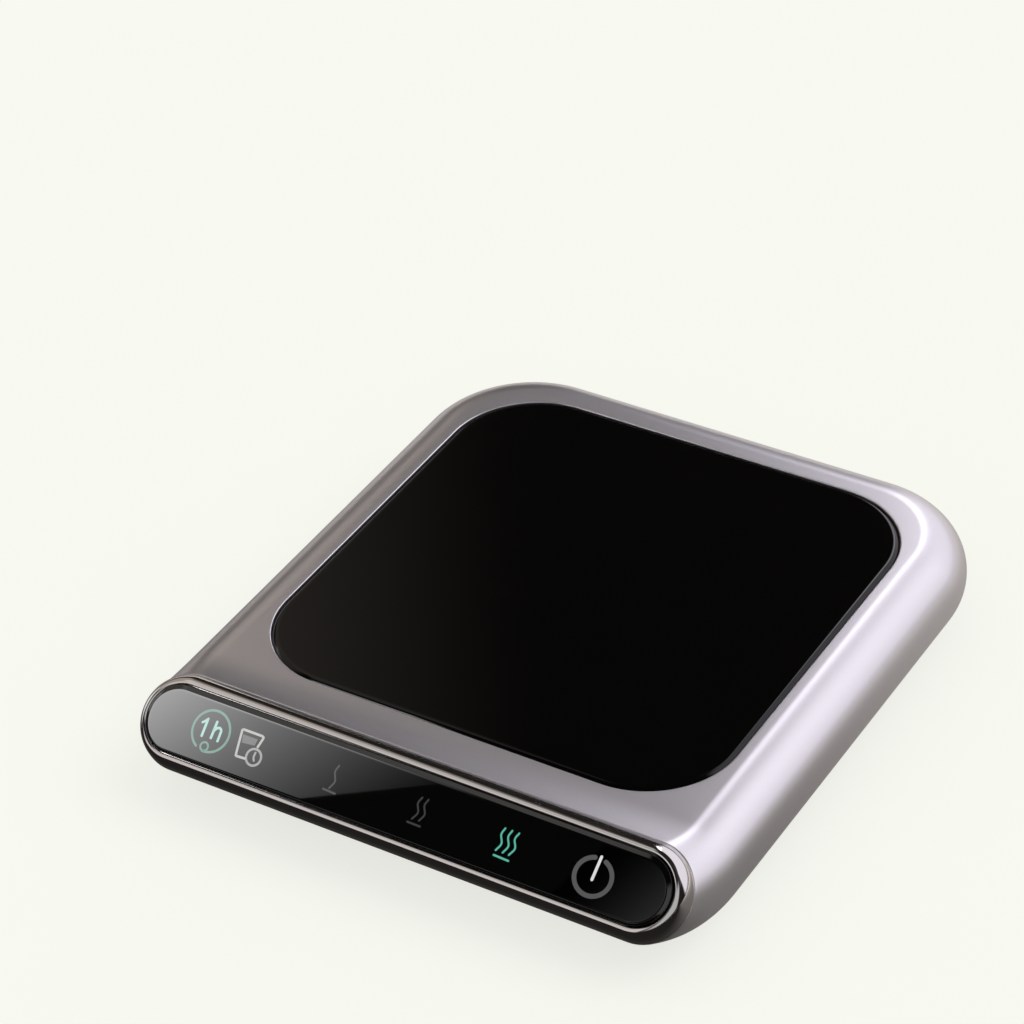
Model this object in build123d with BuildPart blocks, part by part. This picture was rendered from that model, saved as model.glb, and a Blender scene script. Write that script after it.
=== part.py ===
from build123d import *
import math
import os

# Electric mug warmer: a pebble-shaped silver housing with a square black glass hot plate let into its top,
# and a touch strip with six symbols behind a chrome ring on the sloping nose at the front.
# The hot plate floats on four coil springs, and sinks a little under a mug until it works a detector switch.
#
# Frame: millimetres, +Z up, the front faces -Y, origin on the table under the middle of the outline.
# Every sub-part is drawn where it sits in the finished warmer.

os.makedirs("parts", exist_ok=True)

# --- Housing ---------------------------------------------------------------------------------------
BODY_WIDTH = 125.0
BODY_THICKNESS = 19.4
FOOT_HEIGHT = 1.2
BODY_BOTTOM = FOOT_HEIGHT
BODY_TOP = FOOT_HEIGHT + BODY_THICKNESS
REAR_Y = 69.8
REAR_CORNER_RADIUS = 25.2
WALL = 2.0
FLAT_REMAINDER = 0.05  # the full-round edges stop this short of meeting

# --- Nose: the front of the housing turns up into the mouth that carries the control strip ---------
NOSE_START_Y = -46.0
NOSE_TOP_RUN = 8.4
NOSE_TOP_RISE = 1.0
NOSE_BOTTOM_RUN = 23.05
NOSE_BOTTOM_RISE = 7.45
NOSE_NARROWING = 3.1
NOSE_STATIONS = (0.0, 0.25, 0.5, 0.75, 1.0)

# --- Hot plate and the opening it floats in --------------------------------------------------------
PLATE_Y = 6.3
OPENING = 102.3
OPENING_RADIUS = 19.0
PLATE_GAP = 0.25
GLASS_THICKNESS = 4.0
GLASS_PROUD = 0.1
GLASS_BEVEL = (0.5, 0.9)  # down, in
PLATE_TRAVEL = 0.6
LEDGE_OPENING = 97.0
LEDGE_OPENING_RADIUS = 16.5
LEDGE_THICKNESS = 1.45
TRAY_WALL = 2.0
STOP_GAP = 0.05  # left under the glass when the plate is all the way down
SPREADER = 84.0
SPREADER_RADIUS = 8.0
SPREADER_THICKNESS = 1.5
FILM_THICKNESS = 0.4
PAD_THICKNESS = 1.8
CARRIER = 95.6
CARRIER_RADIUS = 18.0
CARRIER_FLOOR = 1.5
TAB_LENGTH = 12.0
TAB_REACH = 50.3
TAB_THICKNESS = 1.4
TAB_SPACING = 48.0
POCKET_CLEARANCE = 0.3

GLASS_TOP = BODY_TOP + GLASS_PROUD
GLASS_BOTTOM = GLASS_TOP - GLASS_THICKNESS
LEDGE_TOP = GLASS_BOTTOM - PLATE_TRAVEL - STOP_GAP
LEDGE_BOTTOM = LEDGE_TOP - LEDGE_THICKNESS
SPREADER_BOTTOM = GLASS_BOTTOM - SPREADER_THICKNESS
FILM_BOTTOM = SPREADER_BOTTOM - FILM_THICKNESS
PAD_BOTTOM = FILM_BOTTOM - PAD_THICKNESS
CARRIER_BOTTOM = PAD_BOTTOM - CARRIER_FLOOR

# --- Base cover, its screws and the feet -----------------------------------------------------------
COVER_THICKNESS = 2.0
COVER_TOP = BODY_BOTTOM + COVER_THICKNESS
COVER_OPENING = (102.0, 103.0)
COVER_OPENING_Y = 7.5
COVER_OPENING_RADIUS = 10.0
COVER_GAP = 0.15
BOSS_SPACING = 90.0
BOSS_RADIUS = 2.75
SCREW_RADIUS = 1.2
SCREW_CLEARANCE = 0.05
SCREW_HEAD_RADIUS = 2.4
SCREW_HEAD_HEIGHT = 1.2
SCREW_LENGTH = 8.0
FOOT_SPACING = 72.0
FOOT_RADIUS = 5.0
FOOT_RECESS = 0.8
FOOT_EDGE = 0.3
VENT_LENGTH = 16.0
VENT_WIDTH = 2.0
VENT_PITCH = 5.0
VENTS = 7
VENT_ROW_Y = (-16.0, 8.0)

# --- Springs under the plate -----------------------------------------------------------------------
SPRING_SPACING = 68.0
SPRING_RADIUS = 2.7
SPRING_WIRE = 0.6
SPRING_TURNS = 4
SPRING_POST_RADIUS = 2.2
SPRING_POST_HEIGHT = 2.0

# --- Power board, at the rear of the base cover ----------------------------------------------------
BOARD_THICKNESS = 1.6
STANDOFF_HEIGHT = 1.5
STANDOFF_RADIUS = 2.5
BOARD_BOTTOM = COVER_TOP + STANDOFF_HEIGHT
BOARD_TOP = BOARD_BOTTOM + BOARD_THICKNESS
POWER_BOARD = (56.0, 40.0)
POWER_BOARD_Y = 44.0
POWER_BOARD_RADIUS = 2.0
BOARD_SCREW_RADIUS = 1.0
BOARD_SCREW_HEAD = (1.9, 1.2)  # radius, height
BOARD_SCREW_LENGTH = 3.2
BOARD_SCREWS = ((-24.5, 27.5), (24.5, 27.5), (-24.5, 55.8), (24.5, 55.8))

# --- Low-voltage inlet in the rear wall ------------------------------------------------------------
JACK_WIDTH = 9.0
JACK_HEIGHT = 8.0
JACK_FRONT_Y = 54.7
JACK_REAR_Y = 66.0
JACK_COLLAR_Y = 68.4
JACK_COLLAR_RADIUS = 4.0
JACK_BORE_RADIUS = 3.1
JACK_BORE_DEPTH = 9.5
JACK_PIN_RADIUS = 1.05
JACK_PIN_LENGTH = 8.8
JACK_HOLE_GAP = 0.1
JACK_Z = BOARD_TOP + JACK_HEIGHT / 2

# --- Detector switch that the plate works ----------------------------------------------------------
SWITCH = (6.5, 4.5, 3.6)
SWITCH_POINT = (16.0, 30.0)
PLUNGER = (2.2, 1.4)
PLUNGER_LENGTH = 2.8
PLUNGER_GAP = 0.05
PLUNGER_CLEARANCE = 0.05

# --- Control strip: ring, lens and what lies behind it, all drawn square to the sloping face -------
RING_RISE = 3.9
RING_INNER = (116.54, 14.14)
RING_CREST = (118.2, 15.8)
RING_ROUND = 0.5
RING_SPIGOT = 0.8
RING_SPIGOT_GAP = 0.35
SHELF_WINDOW = (113.5, 11.1)
SHELF_TOP = -2.0
SHELF_BOTTOM = -3.5
SPIGOT_BORE = (116.2, 13.8)
LENS_GAP = 0.25
LENS_BOTTOM = -1.8
LENS_TOP = 0.7
LENS_BEVEL = (0.55, 1.1)  # down, in
GASKET_WINDOW = (113.7, 11.3)
GASKET_OUTER = (115.6, 13.2)
FILM_SIZE = (113.2, 10.8)
LEGEND_THICKNESS = 0.15
GUIDE_FLANGE = (116.0, 13.6)
GUIDE_FLANGE_THICKNESS = 0.8
HOLDER_OUTER = (113.0, 11.8)
HOLDER_POCKET = (110.8, 9.6)
HOLDER_WINDOW = (108.6, 7.6)
HOLDER_BOTTOM = -8.2
STRIP_BOARD = (110.6, 9.4)
STRIP_BOARD_TOP = -6.2
STRIP_BOARD_THICKNESS = 1.2
SYMBOL_X = (-43.1, -33.6, -14.4, 4.6, 24.0, 42.4)
ELECTRODE_RADII = (3.5, 2.9)
LED = (1.6, 0.8, 0.6)
CHIP = (5.0, 5.0, 0.9)
CHIP_X = 12.0
CABLE_X = -16.0
CABLE = (7.0, 0.6)
STRIP_SOCKET = (9.0, 3.0, 1.6)
CABLE_DROP = 2.6
CABLE_LOW_FRONT_Y = -49.0
CABLE_LOW_REAR_Y = 6.0
CABLE_LOW_Z = 4.5
CABLE_LEAD_IN = 3.0
CABLE_SOCKET_Z = BOARD_TOP + 1.3
CABLE_BEND = 1.0
POWER_SOCKET = (10.0, 4.5, 2.6)
POWER_SOCKET_FRONT_Y = 33.0
WELL_RADIUS = 2.6

# --- Parts on the power board and under the plate --------------------------------------------------
SCREW_SLOT = (2.2, 0.5)
SCREW_SLOT_DEPTH = 0.6
LEAD_Y = 34.0
LEAD_POINTS = ((-4.0, LEAD_Y), (4.0, LEAD_Y))
LEAD_RADIUS = 0.6
LEAD_HOLE_RADIUS = 1.3
TERMINAL = (13.0, 5.0, 2.2)
TERMINAL_CORNER = 0.5
TRANSISTOR_POINT = (15.5, 42.0)
TRANSISTOR = (6.6, 6.1, 2.3)
TRANSISTOR_TAB = (5.3, 2.4)
TRANSISTOR_LEG_PITCH = 2.3
TRANSISTOR_LEG = (0.8, 2.4)
TRANSISTOR_METAL = 0.5
INDUCTOR_POINT = (-13.0, 46.5)
INDUCTOR = (7.0, 3.6)
INDUCTOR_CORNER = 1.6
INDUCTOR_EDGE = 0.5
CAPACITOR_POINTS = ((-14.0, 57.5), (14.0, 57.5))
CAPACITOR = (3.15, 5.4)
CAPACITOR_EDGE = 0.5
JACK_CORNER = 0.6
JACK_PIN_TIP = 0.8
PLUNGER_WELL = 2.5
PLUNGER_EDGE = 0.2
THERMISTOR = (0.8, 3.6)  # radius, length
THERMISTOR_EDGE = 0.3
THERMISTOR_WELL = (5.0, 2.6)
CUTOFF_X = 15.0
CUTOFF = (1.2, 8.0)  # radius, length
CUTOFF_EDGE = 0.4
CUTOFF_WELL = (10.0, 3.4)


def nose_section(station, inset):
    """Plane, width and height of the nose's section: station 0 is at the body, 1 at the ring."""
    top = Vector(0, NOSE_START_Y - NOSE_TOP_RUN * station, BODY_TOP + NOSE_TOP_RISE * station**2)
    bottom = Vector(
        0, NOSE_START_Y - NOSE_BOTTOM_RUN * station, BODY_BOTTOM + NOSE_BOTTOM_RISE * station**2
    )
    upward = (top - bottom).normalized()
    plane = Plane(origin=(top + bottom) * 0.5, x_dir=(1, 0, 0), z_dir=Vector(1, 0, 0).cross(upward))
    width = BODY_WIDTH - NOSE_NARROWING * station**2 - 2 * inset
    return plane, width, (top - bottom).length - 2 * inset


def body_form(inset):
    """The whole pebble, full round at the sides and rear, shrunk all over by the inset."""
    width = BODY_WIDTH - 2 * inset
    thickness = BODY_THICKNESS - 2 * inset
    length = REAR_Y - inset - NOSE_START_Y
    with BuildPart() as form:
        with BuildSketch(Plane.XY.offset(BODY_BOTTOM + inset)) as plan:
            with Locations((0, NOSE_START_Y + length / 2)):
                Rectangle(width, length)
            fillet(plan.vertices().group_by(Axis.Y)[-1], radius=REAR_CORNER_RADIUS - inset)
        extrude(amount=thickness)
        rims = form.edges().group_by(Axis.Z)[0] + form.edges().group_by(Axis.Z)[-1]
        rounded = [edge for edge in rims if edge.center().Y > NOSE_START_Y + FLAT_REMAINDER]
        fillet(rounded, radius=thickness / 2 - FLAT_REMAINDER)
        for station in NOSE_STATIONS:
            plane, section_width, height = nose_section(station, inset)
            with BuildSketch(plane):
                RectangleRounded(section_width, height, height / 2 - FLAT_REMAINDER)
        loft()
    return form.part


mouth_plane, mouth_width, mouth_height = nose_section(1, 0)
face_plane = mouth_plane.offset(RING_RISE)
face_normal = Axis(face_plane.origin, face_plane.z_dir)
ring_taper = math.degrees(math.atan2((mouth_height - RING_CREST[1]) / 2, RING_RISE))


# Housing shell: the silver moulding, with a tray wall and ledge round the plate opening, four screw bosses,
# the opening for the base cover and the hole for the inlet.
outer_form = body_form(0)
cavity_form = body_form(WALL)
with BuildPart() as housing_shell:
    add(outer_form)
    add(cavity_form, mode=Mode.SUBTRACT)
    with BuildSketch(Plane.XY.offset(LEDGE_BOTTOM)):
        with Locations((0, PLATE_Y)):
            RectangleRounded(
                OPENING + 2 * TRAY_WALL, OPENING + 2 * TRAY_WALL, OPENING_RADIUS + TRAY_WALL
            )
    extrude(amount=BODY_TOP - WALL / 2 - LEDGE_BOTTOM)
    with BuildSketch(Plane.XY.offset(LEDGE_TOP)):
        with Locations((0, PLATE_Y)):
            RectangleRounded(OPENING, OPENING, OPENING_RADIUS)
    extrude(amount=BODY_THICKNESS, mode=Mode.SUBTRACT)
    with BuildSketch(Plane.XY.offset(LEDGE_BOTTOM)):
        with Locations((0, PLATE_Y)):
            RectangleRounded(LEDGE_OPENING, LEDGE_OPENING, LEDGE_OPENING_RADIUS)
    extrude(amount=BODY_THICKNESS, mode=Mode.SUBTRACT)
    with BuildSketch(Plane.XY.offset(COVER_TOP)):
        with Locations((0, PLATE_Y)):
            with GridLocations(BOSS_SPACING, BOSS_SPACING, 2, 2):
                Circle(BOSS_RADIUS)
    extrude(amount=LEDGE_BOTTOM - COVER_TOP)
    with BuildSketch(Plane.XY.offset(COVER_TOP)):
        with Locations((0, PLATE_Y)):
            with GridLocations(BOSS_SPACING, BOSS_SPACING, 2, 2):
                Circle(SCREW_RADIUS + SCREW_CLEARANCE)
    extrude(amount=SCREW_LENGTH, mode=Mode.SUBTRACT)
    with BuildSketch(Plane.XY.offset(COVER_TOP)):
        with Locations((0, COVER_OPENING_Y)):
            RectangleRounded(*COVER_OPENING, COVER_OPENING_RADIUS)
    extrude(amount=-BODY_THICKNESS, mode=Mode.SUBTRACT)
    with BuildSketch(Plane.XZ.offset(-REAR_Y)):
        with Locations((0, JACK_Z)):
            Circle(JACK_COLLAR_RADIUS + JACK_HOLE_GAP)
    extrude(amount=2 * WALL + JACK_COLLAR_RADIUS, mode=Mode.SUBTRACT)
housing_shell.part.label = "housing_shell"
export_step(housing_shell.part, "parts/housing_shell.step")

# Base cover: closes the underside and carries the springs, the power board, the feet and the vents.
with BuildPart() as base_cover:
    with BuildSketch(Plane.XY.offset(BODY_BOTTOM)):
        with Locations((0, COVER_OPENING_Y)):
            RectangleRounded(
                COVER_OPENING[0] - 2 * COVER_GAP,
                COVER_OPENING[1] - 2 * COVER_GAP,
                COVER_OPENING_RADIUS - COVER_GAP,
            )
    extrude(amount=COVER_THICKNESS)
    with BuildSketch(Plane.XY.offset(COVER_TOP)):
        with Locations((0, PLATE_Y)):
            with GridLocations(SPRING_SPACING, SPRING_SPACING, 2, 2):
                Circle(SPRING_POST_RADIUS)
    extrude(amount=SPRING_POST_HEIGHT)
    with BuildSketch(Plane.XY.offset(COVER_TOP)):
        with Locations(*BOARD_SCREWS):
            Circle(STANDOFF_RADIUS)
    extrude(amount=STANDOFF_HEIGHT)
    with BuildSketch(Plane.XY.offset(BOARD_BOTTOM)):
        with Locations(*BOARD_SCREWS):
            Circle(BOARD_SCREW_RADIUS + SCREW_CLEARANCE)
    extrude(amount=-BOARD_SCREW_LENGTH + BOARD_THICKNESS, mode=Mode.SUBTRACT)
    with BuildSketch(Plane.XY.offset(BODY_BOTTOM)):
        with Locations((0, PLATE_Y)):
            with GridLocations(FOOT_SPACING, FOOT_SPACING, 2, 2):
                Circle(FOOT_RADIUS)
    extrude(amount=FOOT_RECESS, mode=Mode.SUBTRACT)
    for row_y in VENT_ROW_Y:
        with BuildSketch(Plane.XY.offset(BODY_BOTTOM)):
            with Locations((0, row_y)):
                with GridLocations(VENT_PITCH, 1, VENTS, 1):
                    SlotOverall(VENT_LENGTH, VENT_WIDTH, rotation=90)
        extrude(amount=COVER_THICKNESS, mode=Mode.SUBTRACT)
    with BuildSketch(Plane.XY.offset(BODY_BOTTOM)):
        with Locations((0, PLATE_Y)):
            with GridLocations(BOSS_SPACING, BOSS_SPACING, 2, 2):
                Circle(SCREW_RADIUS + SCREW_CLEARANCE)
    extrude(amount=COVER_THICKNESS, mode=Mode.SUBTRACT)
    for boss_x in (-BOSS_SPACING / 2, BOSS_SPACING / 2):
        for boss_y in (PLATE_Y - BOSS_SPACING / 2, PLATE_Y + BOSS_SPACING / 2):
            with Locations(Location((boss_x, boss_y, BODY_BOTTOM + SCREW_HEAD_HEIGHT / 2))):
                Cone(
                    SCREW_HEAD_RADIUS + SCREW_CLEARANCE,
                    SCREW_RADIUS + SCREW_CLEARANCE,
                    SCREW_HEAD_HEIGHT,
                    mode=Mode.SUBTRACT,
                )
base_cover.part.label = "base_cover"
export_step(base_cover.part, "parts/base_cover.step")

# Cover screws: four countersunk screws from below into the bosses.
with BuildPart() as cover_screws:
    for boss_x in (-BOSS_SPACING / 2, BOSS_SPACING / 2):
        for boss_y in (PLATE_Y - BOSS_SPACING / 2, PLATE_Y + BOSS_SPACING / 2):
            with BuildSketch(Plane.XY.offset(BODY_BOTTOM)):
                with Locations((boss_x, boss_y)):
                    Circle(SCREW_RADIUS)
            extrude(amount=SCREW_LENGTH)
            with Locations(Location((boss_x, boss_y, BODY_BOTTOM + SCREW_HEAD_HEIGHT / 2))):
                Cone(SCREW_HEAD_RADIUS, SCREW_RADIUS, SCREW_HEAD_HEIGHT)
            with BuildSketch(Plane.XY.offset(BODY_BOTTOM)):
                with Locations((boss_x, boss_y)):
                    Rectangle(*SCREW_SLOT)
                    Rectangle(*reversed(SCREW_SLOT))
            extrude(amount=SCREW_SLOT_DEPTH, mode=Mode.SUBTRACT)
cover_screws.part.label = "cover_screws"
export_step(cover_screws.part, "parts/cover_screws.step")

# Rubber feet: four discs glued into the cover's recesses.
with BuildPart() as rubber_feet:
    with BuildSketch(Plane.XY):
        with Locations((0, PLATE_Y)):
            with GridLocations(FOOT_SPACING, FOOT_SPACING, 2, 2):
                Circle(FOOT_RADIUS)
    extrude(amount=FOOT_HEIGHT + FOOT_RECESS)
    fillet(rubber_feet.edges().group_by(Axis.Z)[0], radius=FOOT_EDGE)
rubber_feet.part.label = "rubber_feet"
export_step(rubber_feet.part, "parts/rubber_feet.step")

# Bezel ring: the chrome ring on the nose's mouth, with a shelf for the lens and a spigot into the mouth.
with BuildPart() as bezel_ring:
    with BuildSketch(mouth_plane):
        SlotOverall(mouth_width, mouth_height)
    extrude(amount=RING_RISE, taper=ring_taper)
    fillet(bezel_ring.faces().sort_by(face_normal)[-1].edges(), radius=RING_ROUND)
    with BuildSketch(mouth_plane):
        SlotOverall(
            mouth_width - 2 * (WALL + RING_SPIGOT_GAP), mouth_height - 2 * (WALL + RING_SPIGOT_GAP)
        )
    extrude(amount=-RING_SPIGOT)
    with BuildSketch(face_plane.offset(SHELF_TOP)):
        SlotOverall(*RING_INNER)
    extrude(amount=RING_RISE, mode=Mode.SUBTRACT)
    with BuildSketch(face_plane.offset(SHELF_TOP)):
        SlotOverall(*SHELF_WINDOW)
    extrude(amount=-2 * RING_RISE, mode=Mode.SUBTRACT)
    with BuildSketch(face_plane.offset(SHELF_BOTTOM)):
        SlotOverall(*SPIGOT_BORE)
    extrude(amount=-2 * RING_RISE, mode=Mode.SUBTRACT)
bezel_ring.part.label = "bezel_ring"
export_step(bezel_ring.part, "parts/bezel_ring.step")

# Lens gasket: the thin frame of black adhesive foam between the shelf and the lens.
with BuildPart() as lens_gasket:
    with BuildSketch(face_plane.offset(SHELF_TOP)):
        SlotOverall(*GASKET_OUTER)
        SlotOverall(*GASKET_WINDOW, mode=Mode.SUBTRACT)
    extrude(amount=LENS_BOTTOM - SHELF_TOP)
lens_gasket.part.label = "lens_gasket"
export_step(lens_gasket.part, "parts/lens_gasket.step")

# Control lens: the smoked touch window, bevelled all round and a little proud of the ring.
with BuildPart() as control_lens:
    with BuildSketch(face_plane.offset(LENS_BOTTOM)):
        SlotOverall(RING_INNER[0] - 2 * LENS_GAP, RING_INNER[1] - 2 * LENS_GAP)
    extrude(amount=LENS_TOP - LENS_BOTTOM)
    lens_front = control_lens.faces().sort_by(face_normal)[-1]
    chamfer(lens_front.edges(), length=LENS_BEVEL[0], length2=LENS_BEVEL[1], reference=lens_front)
control_lens.part.label = "control_lens"
export_step(control_lens.part, "parts/control_lens.step")

# Legend film: the printed mask right behind the lens, with a clear window for each symbol.
with BuildPart() as legend_film:
    with BuildSketch(face_plane.offset(LENS_BOTTOM)):
        SlotOverall(*FILM_SIZE)
    extrude(amount=-LEGEND_THICKNESS)
legend_film.part.label = "legend_film"
export_step(legend_film.part, "parts/legend_film.step")

# Light guide: a white baffle that fills the shelf's window, with a light well behind each symbol.
with BuildPart() as light_guide:
    with BuildSketch(face_plane.offset(LENS_BOTTOM - LEGEND_THICKNESS)):
        SlotOverall(*FILM_SIZE)
    extrude(amount=SHELF_BOTTOM - LENS_BOTTOM + LEGEND_THICKNESS)
    with BuildSketch(face_plane.offset(SHELF_BOTTOM)):
        SlotOverall(*GUIDE_FLANGE)
    extrude(amount=-GUIDE_FLANGE_THICKNESS)
    with BuildSketch(face_plane):
        with Locations(*[(x, 0) for x in SYMBOL_X]):
            Circle(WELL_RADIUS)
    extrude(amount=2 * SHELF_BOTTOM, mode=Mode.SUBTRACT)
light_guide.part.label = "light_guide"
export_step(light_guide.part, "parts/light_guide.step")

# Board holder: the black frame behind the light guide, with a pocket that the strip board snaps into.
holder_top = SHELF_BOTTOM - GUIDE_FLANGE_THICKNESS
with BuildPart() as board_holder:
    with BuildSketch(face_plane.offset(holder_top)):
        SlotOverall(*HOLDER_OUTER)
        SlotOverall(*HOLDER_WINDOW, mode=Mode.SUBTRACT)
    extrude(amount=HOLDER_BOTTOM - holder_top)
    with BuildSketch(face_plane.offset(STRIP_BOARD_TOP)):
        SlotOverall(*HOLDER_POCKET)
    extrude(amount=HOLDER_BOTTOM - STRIP_BOARD_TOP, mode=Mode.SUBTRACT)
board_holder.part.label = "board_holder"
export_step(board_holder.part, "parts/board_holder.step")

# Strip board: the touch controller's circuit board, in the holder's pocket.
strip_board_bottom = STRIP_BOARD_TOP - STRIP_BOARD_THICKNESS
with BuildPart() as strip_board:
    with BuildSketch(face_plane.offset(strip_board_bottom)):
        SlotOverall(*STRIP_BOARD)
    extrude(amount=STRIP_BOARD_THICKNESS)
strip_board.part.label = "strip_board"
export_step(strip_board.part, "parts/strip_board.step")

# Touch electrodes: a sprung metal sleeve round each light well, from the board to the light guide.
with BuildPart() as touch_electrodes:
    with BuildSketch(face_plane.offset(STRIP_BOARD_TOP)):
        with Locations(*[(x, 0) for x in SYMBOL_X]):
            Circle(ELECTRODE_RADII[0])
            Circle(ELECTRODE_RADII[1], mode=Mode.SUBTRACT)
    extrude(amount=holder_top - STRIP_BOARD_TOP)
touch_electrodes.part.label = "touch_electrodes"
export_step(touch_electrodes.part, "parts/touch_electrodes.step")

# Indicator LEDs: one on the board in the middle of each sleeve.
with BuildPart() as indicator_leds:
    with BuildSketch(face_plane.offset(STRIP_BOARD_TOP)):
        with Locations(*[(x, 0) for x in SYMBOL_X]):
            Rectangle(LED[0], LED[1])
    extrude(amount=LED[2])
indicator_leds.part.label = "indicator_leds"
export_step(indicator_leds.part, "parts/indicator_leds.step")

# Touch chip, on the back of the strip board.
with BuildPart() as touch_chip:
    with BuildSketch(face_plane.offset(strip_board_bottom)):
        with Locations((CHIP_X, 0)):
            Rectangle(CHIP[0], CHIP[1])
    extrude(amount=-CHIP[2])
touch_chip.part.label = "touch_chip"
export_step(touch_chip.part, "parts/touch_chip.step")

# Strip socket: the ribbon cable's connector on the back of the strip board.
with BuildPart() as strip_socket:
    with BuildSketch(face_plane.offset(strip_board_bottom)):
        with Locations((CABLE_X, 0)):
            Rectangle(STRIP_SOCKET[0], STRIP_SOCKET[1])
    extrude(amount=-STRIP_SOCKET[2])
strip_socket.part.label = "strip_socket"
export_step(strip_socket.part, "parts/strip_socket.step")

# Ribbon cable: from the strip socket down over the base cover to the power board's socket.
cable_start = face_plane.offset(strip_board_bottom - STRIP_SOCKET[2]).origin
cable_turn = face_plane.offset(strip_board_bottom - STRIP_SOCKET[2] - CABLE_DROP).origin
with BuildPart() as ribbon_cable:
    with BuildSketch(Plane.YZ.offset(CABLE_X)):
        with BuildLine() as cable_route:
            FilletPolyline(
                (cable_start.Y, cable_start.Z),
                (cable_turn.Y, cable_turn.Z),
                (CABLE_LOW_FRONT_Y, CABLE_LOW_Z),
                (CABLE_LOW_REAR_Y, CABLE_LOW_Z),
                (POWER_SOCKET_FRONT_Y - CABLE_LEAD_IN, CABLE_SOCKET_Z),
                (POWER_SOCKET_FRONT_Y, CABLE_SOCKET_Z),
                radius=CABLE_BEND,
            )
        trace(line_width=CABLE[1])
    extrude(amount=CABLE[0] / 2, both=True)
ribbon_cable.part.label = "ribbon_cable"
export_step(ribbon_cable.part, "parts/ribbon_cable.step")

# Power board, on the cover's standoffs.
with BuildPart() as power_board:
    with BuildSketch(Plane.XY.offset(BOARD_BOTTOM)):
        with Locations((0, POWER_BOARD_Y)):
            RectangleRounded(*POWER_BOARD, POWER_BOARD_RADIUS)
        with Locations(*BOARD_SCREWS):
            Circle(BOARD_SCREW_RADIUS + SCREW_CLEARANCE, mode=Mode.SUBTRACT)
    extrude(amount=BOARD_THICKNESS)
power_board.part.label = "power_board"
export_step(power_board.part, "parts/power_board.step")

# Board screws: four small pan-head screws.
with BuildPart() as board_screws:
    with BuildSketch(Plane.XY.offset(BOARD_TOP)):
        with Locations(*BOARD_SCREWS):
            Circle(BOARD_SCREW_RADIUS)
    extrude(amount=-BOARD_SCREW_LENGTH)
    with BuildSketch(Plane.XY.offset(BOARD_TOP)):
        with Locations(*BOARD_SCREWS):
            Circle(BOARD_SCREW_HEAD[0])
    extrude(amount=BOARD_SCREW_HEAD[1])
    with BuildSketch(Plane.XY.offset(BOARD_TOP + BOARD_SCREW_HEAD[1])):
        with Locations(*BOARD_SCREWS):
            Rectangle(*SCREW_SLOT)
            Rectangle(*reversed(SCREW_SLOT))
    extrude(amount=-SCREW_SLOT_DEPTH, mode=Mode.SUBTRACT)
board_screws.part.label = "board_screws"
export_step(board_screws.part, "parts/board_screws.step")

# Power socket for the ribbon cable, with its mouth to the front.
with BuildPart() as power_socket:
    with BuildSketch(Plane.XY.offset(BOARD_TOP)):
        with Locations((CABLE_X, POWER_SOCKET_FRONT_Y)):
            Rectangle(POWER_SOCKET[0], POWER_SOCKET[1], align=(Align.CENTER, Align.MIN))
    extrude(amount=POWER_SOCKET[2])
power_socket.part.label = "power_socket"
export_step(power_socket.part, "parts/power_socket.step")

# Heater terminal: the block that the two heater leads plug into.
with BuildPart() as heater_terminal:
    with BuildSketch(Plane.XY.offset(BOARD_TOP)):
        with Locations((0, LEAD_Y)):
            RectangleRounded(TERMINAL[0], TERMINAL[1], TERMINAL_CORNER)
    extrude(amount=TERMINAL[2])
heater_terminal.part.label = "heater_terminal"
export_step(heater_terminal.part, "parts/heater_terminal.step")

# Power transistor: flat package with its metal tab to the rear.
with BuildPart() as power_transistor:
    with BuildSketch(Plane.XY.offset(BOARD_TOP)):
        with Locations(TRANSISTOR_POINT):
            Rectangle(TRANSISTOR[0], TRANSISTOR[1])
    extrude(amount=TRANSISTOR[2])
    with BuildSketch(Plane.XY.offset(BOARD_TOP)):
        with Locations((TRANSISTOR_POINT[0], TRANSISTOR_POINT[1] + TRANSISTOR[1] / 2)):
            Rectangle(*TRANSISTOR_TAB, align=(Align.CENTER, Align.MIN))
        with Locations((TRANSISTOR_POINT[0], TRANSISTOR_POINT[1] - TRANSISTOR[1] / 2)):
            with GridLocations(TRANSISTOR_LEG_PITCH, 1, 3, 1):
                Rectangle(*TRANSISTOR_LEG, align=(Align.CENTER, Align.MAX))
    extrude(amount=TRANSISTOR_METAL)
power_transistor.part.label = "power_transistor"
export_step(power_transistor.part, "parts/power_transistor.step")

# Buck inductor: a square moulded choke with a round top.
with BuildPart() as buck_inductor:
    with BuildSketch(Plane.XY.offset(BOARD_TOP)):
        with Locations(INDUCTOR_POINT):
            RectangleRounded(INDUCTOR[0], INDUCTOR[0], INDUCTOR_CORNER)
    extrude(amount=INDUCTOR[1])
    fillet(buck_inductor.edges().group_by(Axis.Z)[-1], radius=INDUCTOR_EDGE)
buck_inductor.part.label = "buck_inductor"
export_step(buck_inductor.part, "parts/buck_inductor.step")

# Filter capacitors: two low cans on the board.
with BuildPart() as filter_capacitors:
    with BuildSketch(Plane.XY.offset(BOARD_TOP)):
        with Locations(*CAPACITOR_POINTS):
            Circle(CAPACITOR[0])
    extrude(amount=CAPACITOR[1])
    fillet(filter_capacitors.edges().group_by(Axis.Z)[-1], radius=CAPACITOR_EDGE)
filter_capacitors.part.label = "filter_capacitors"
export_step(filter_capacitors.part, "parts/filter_capacitors.step")

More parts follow.
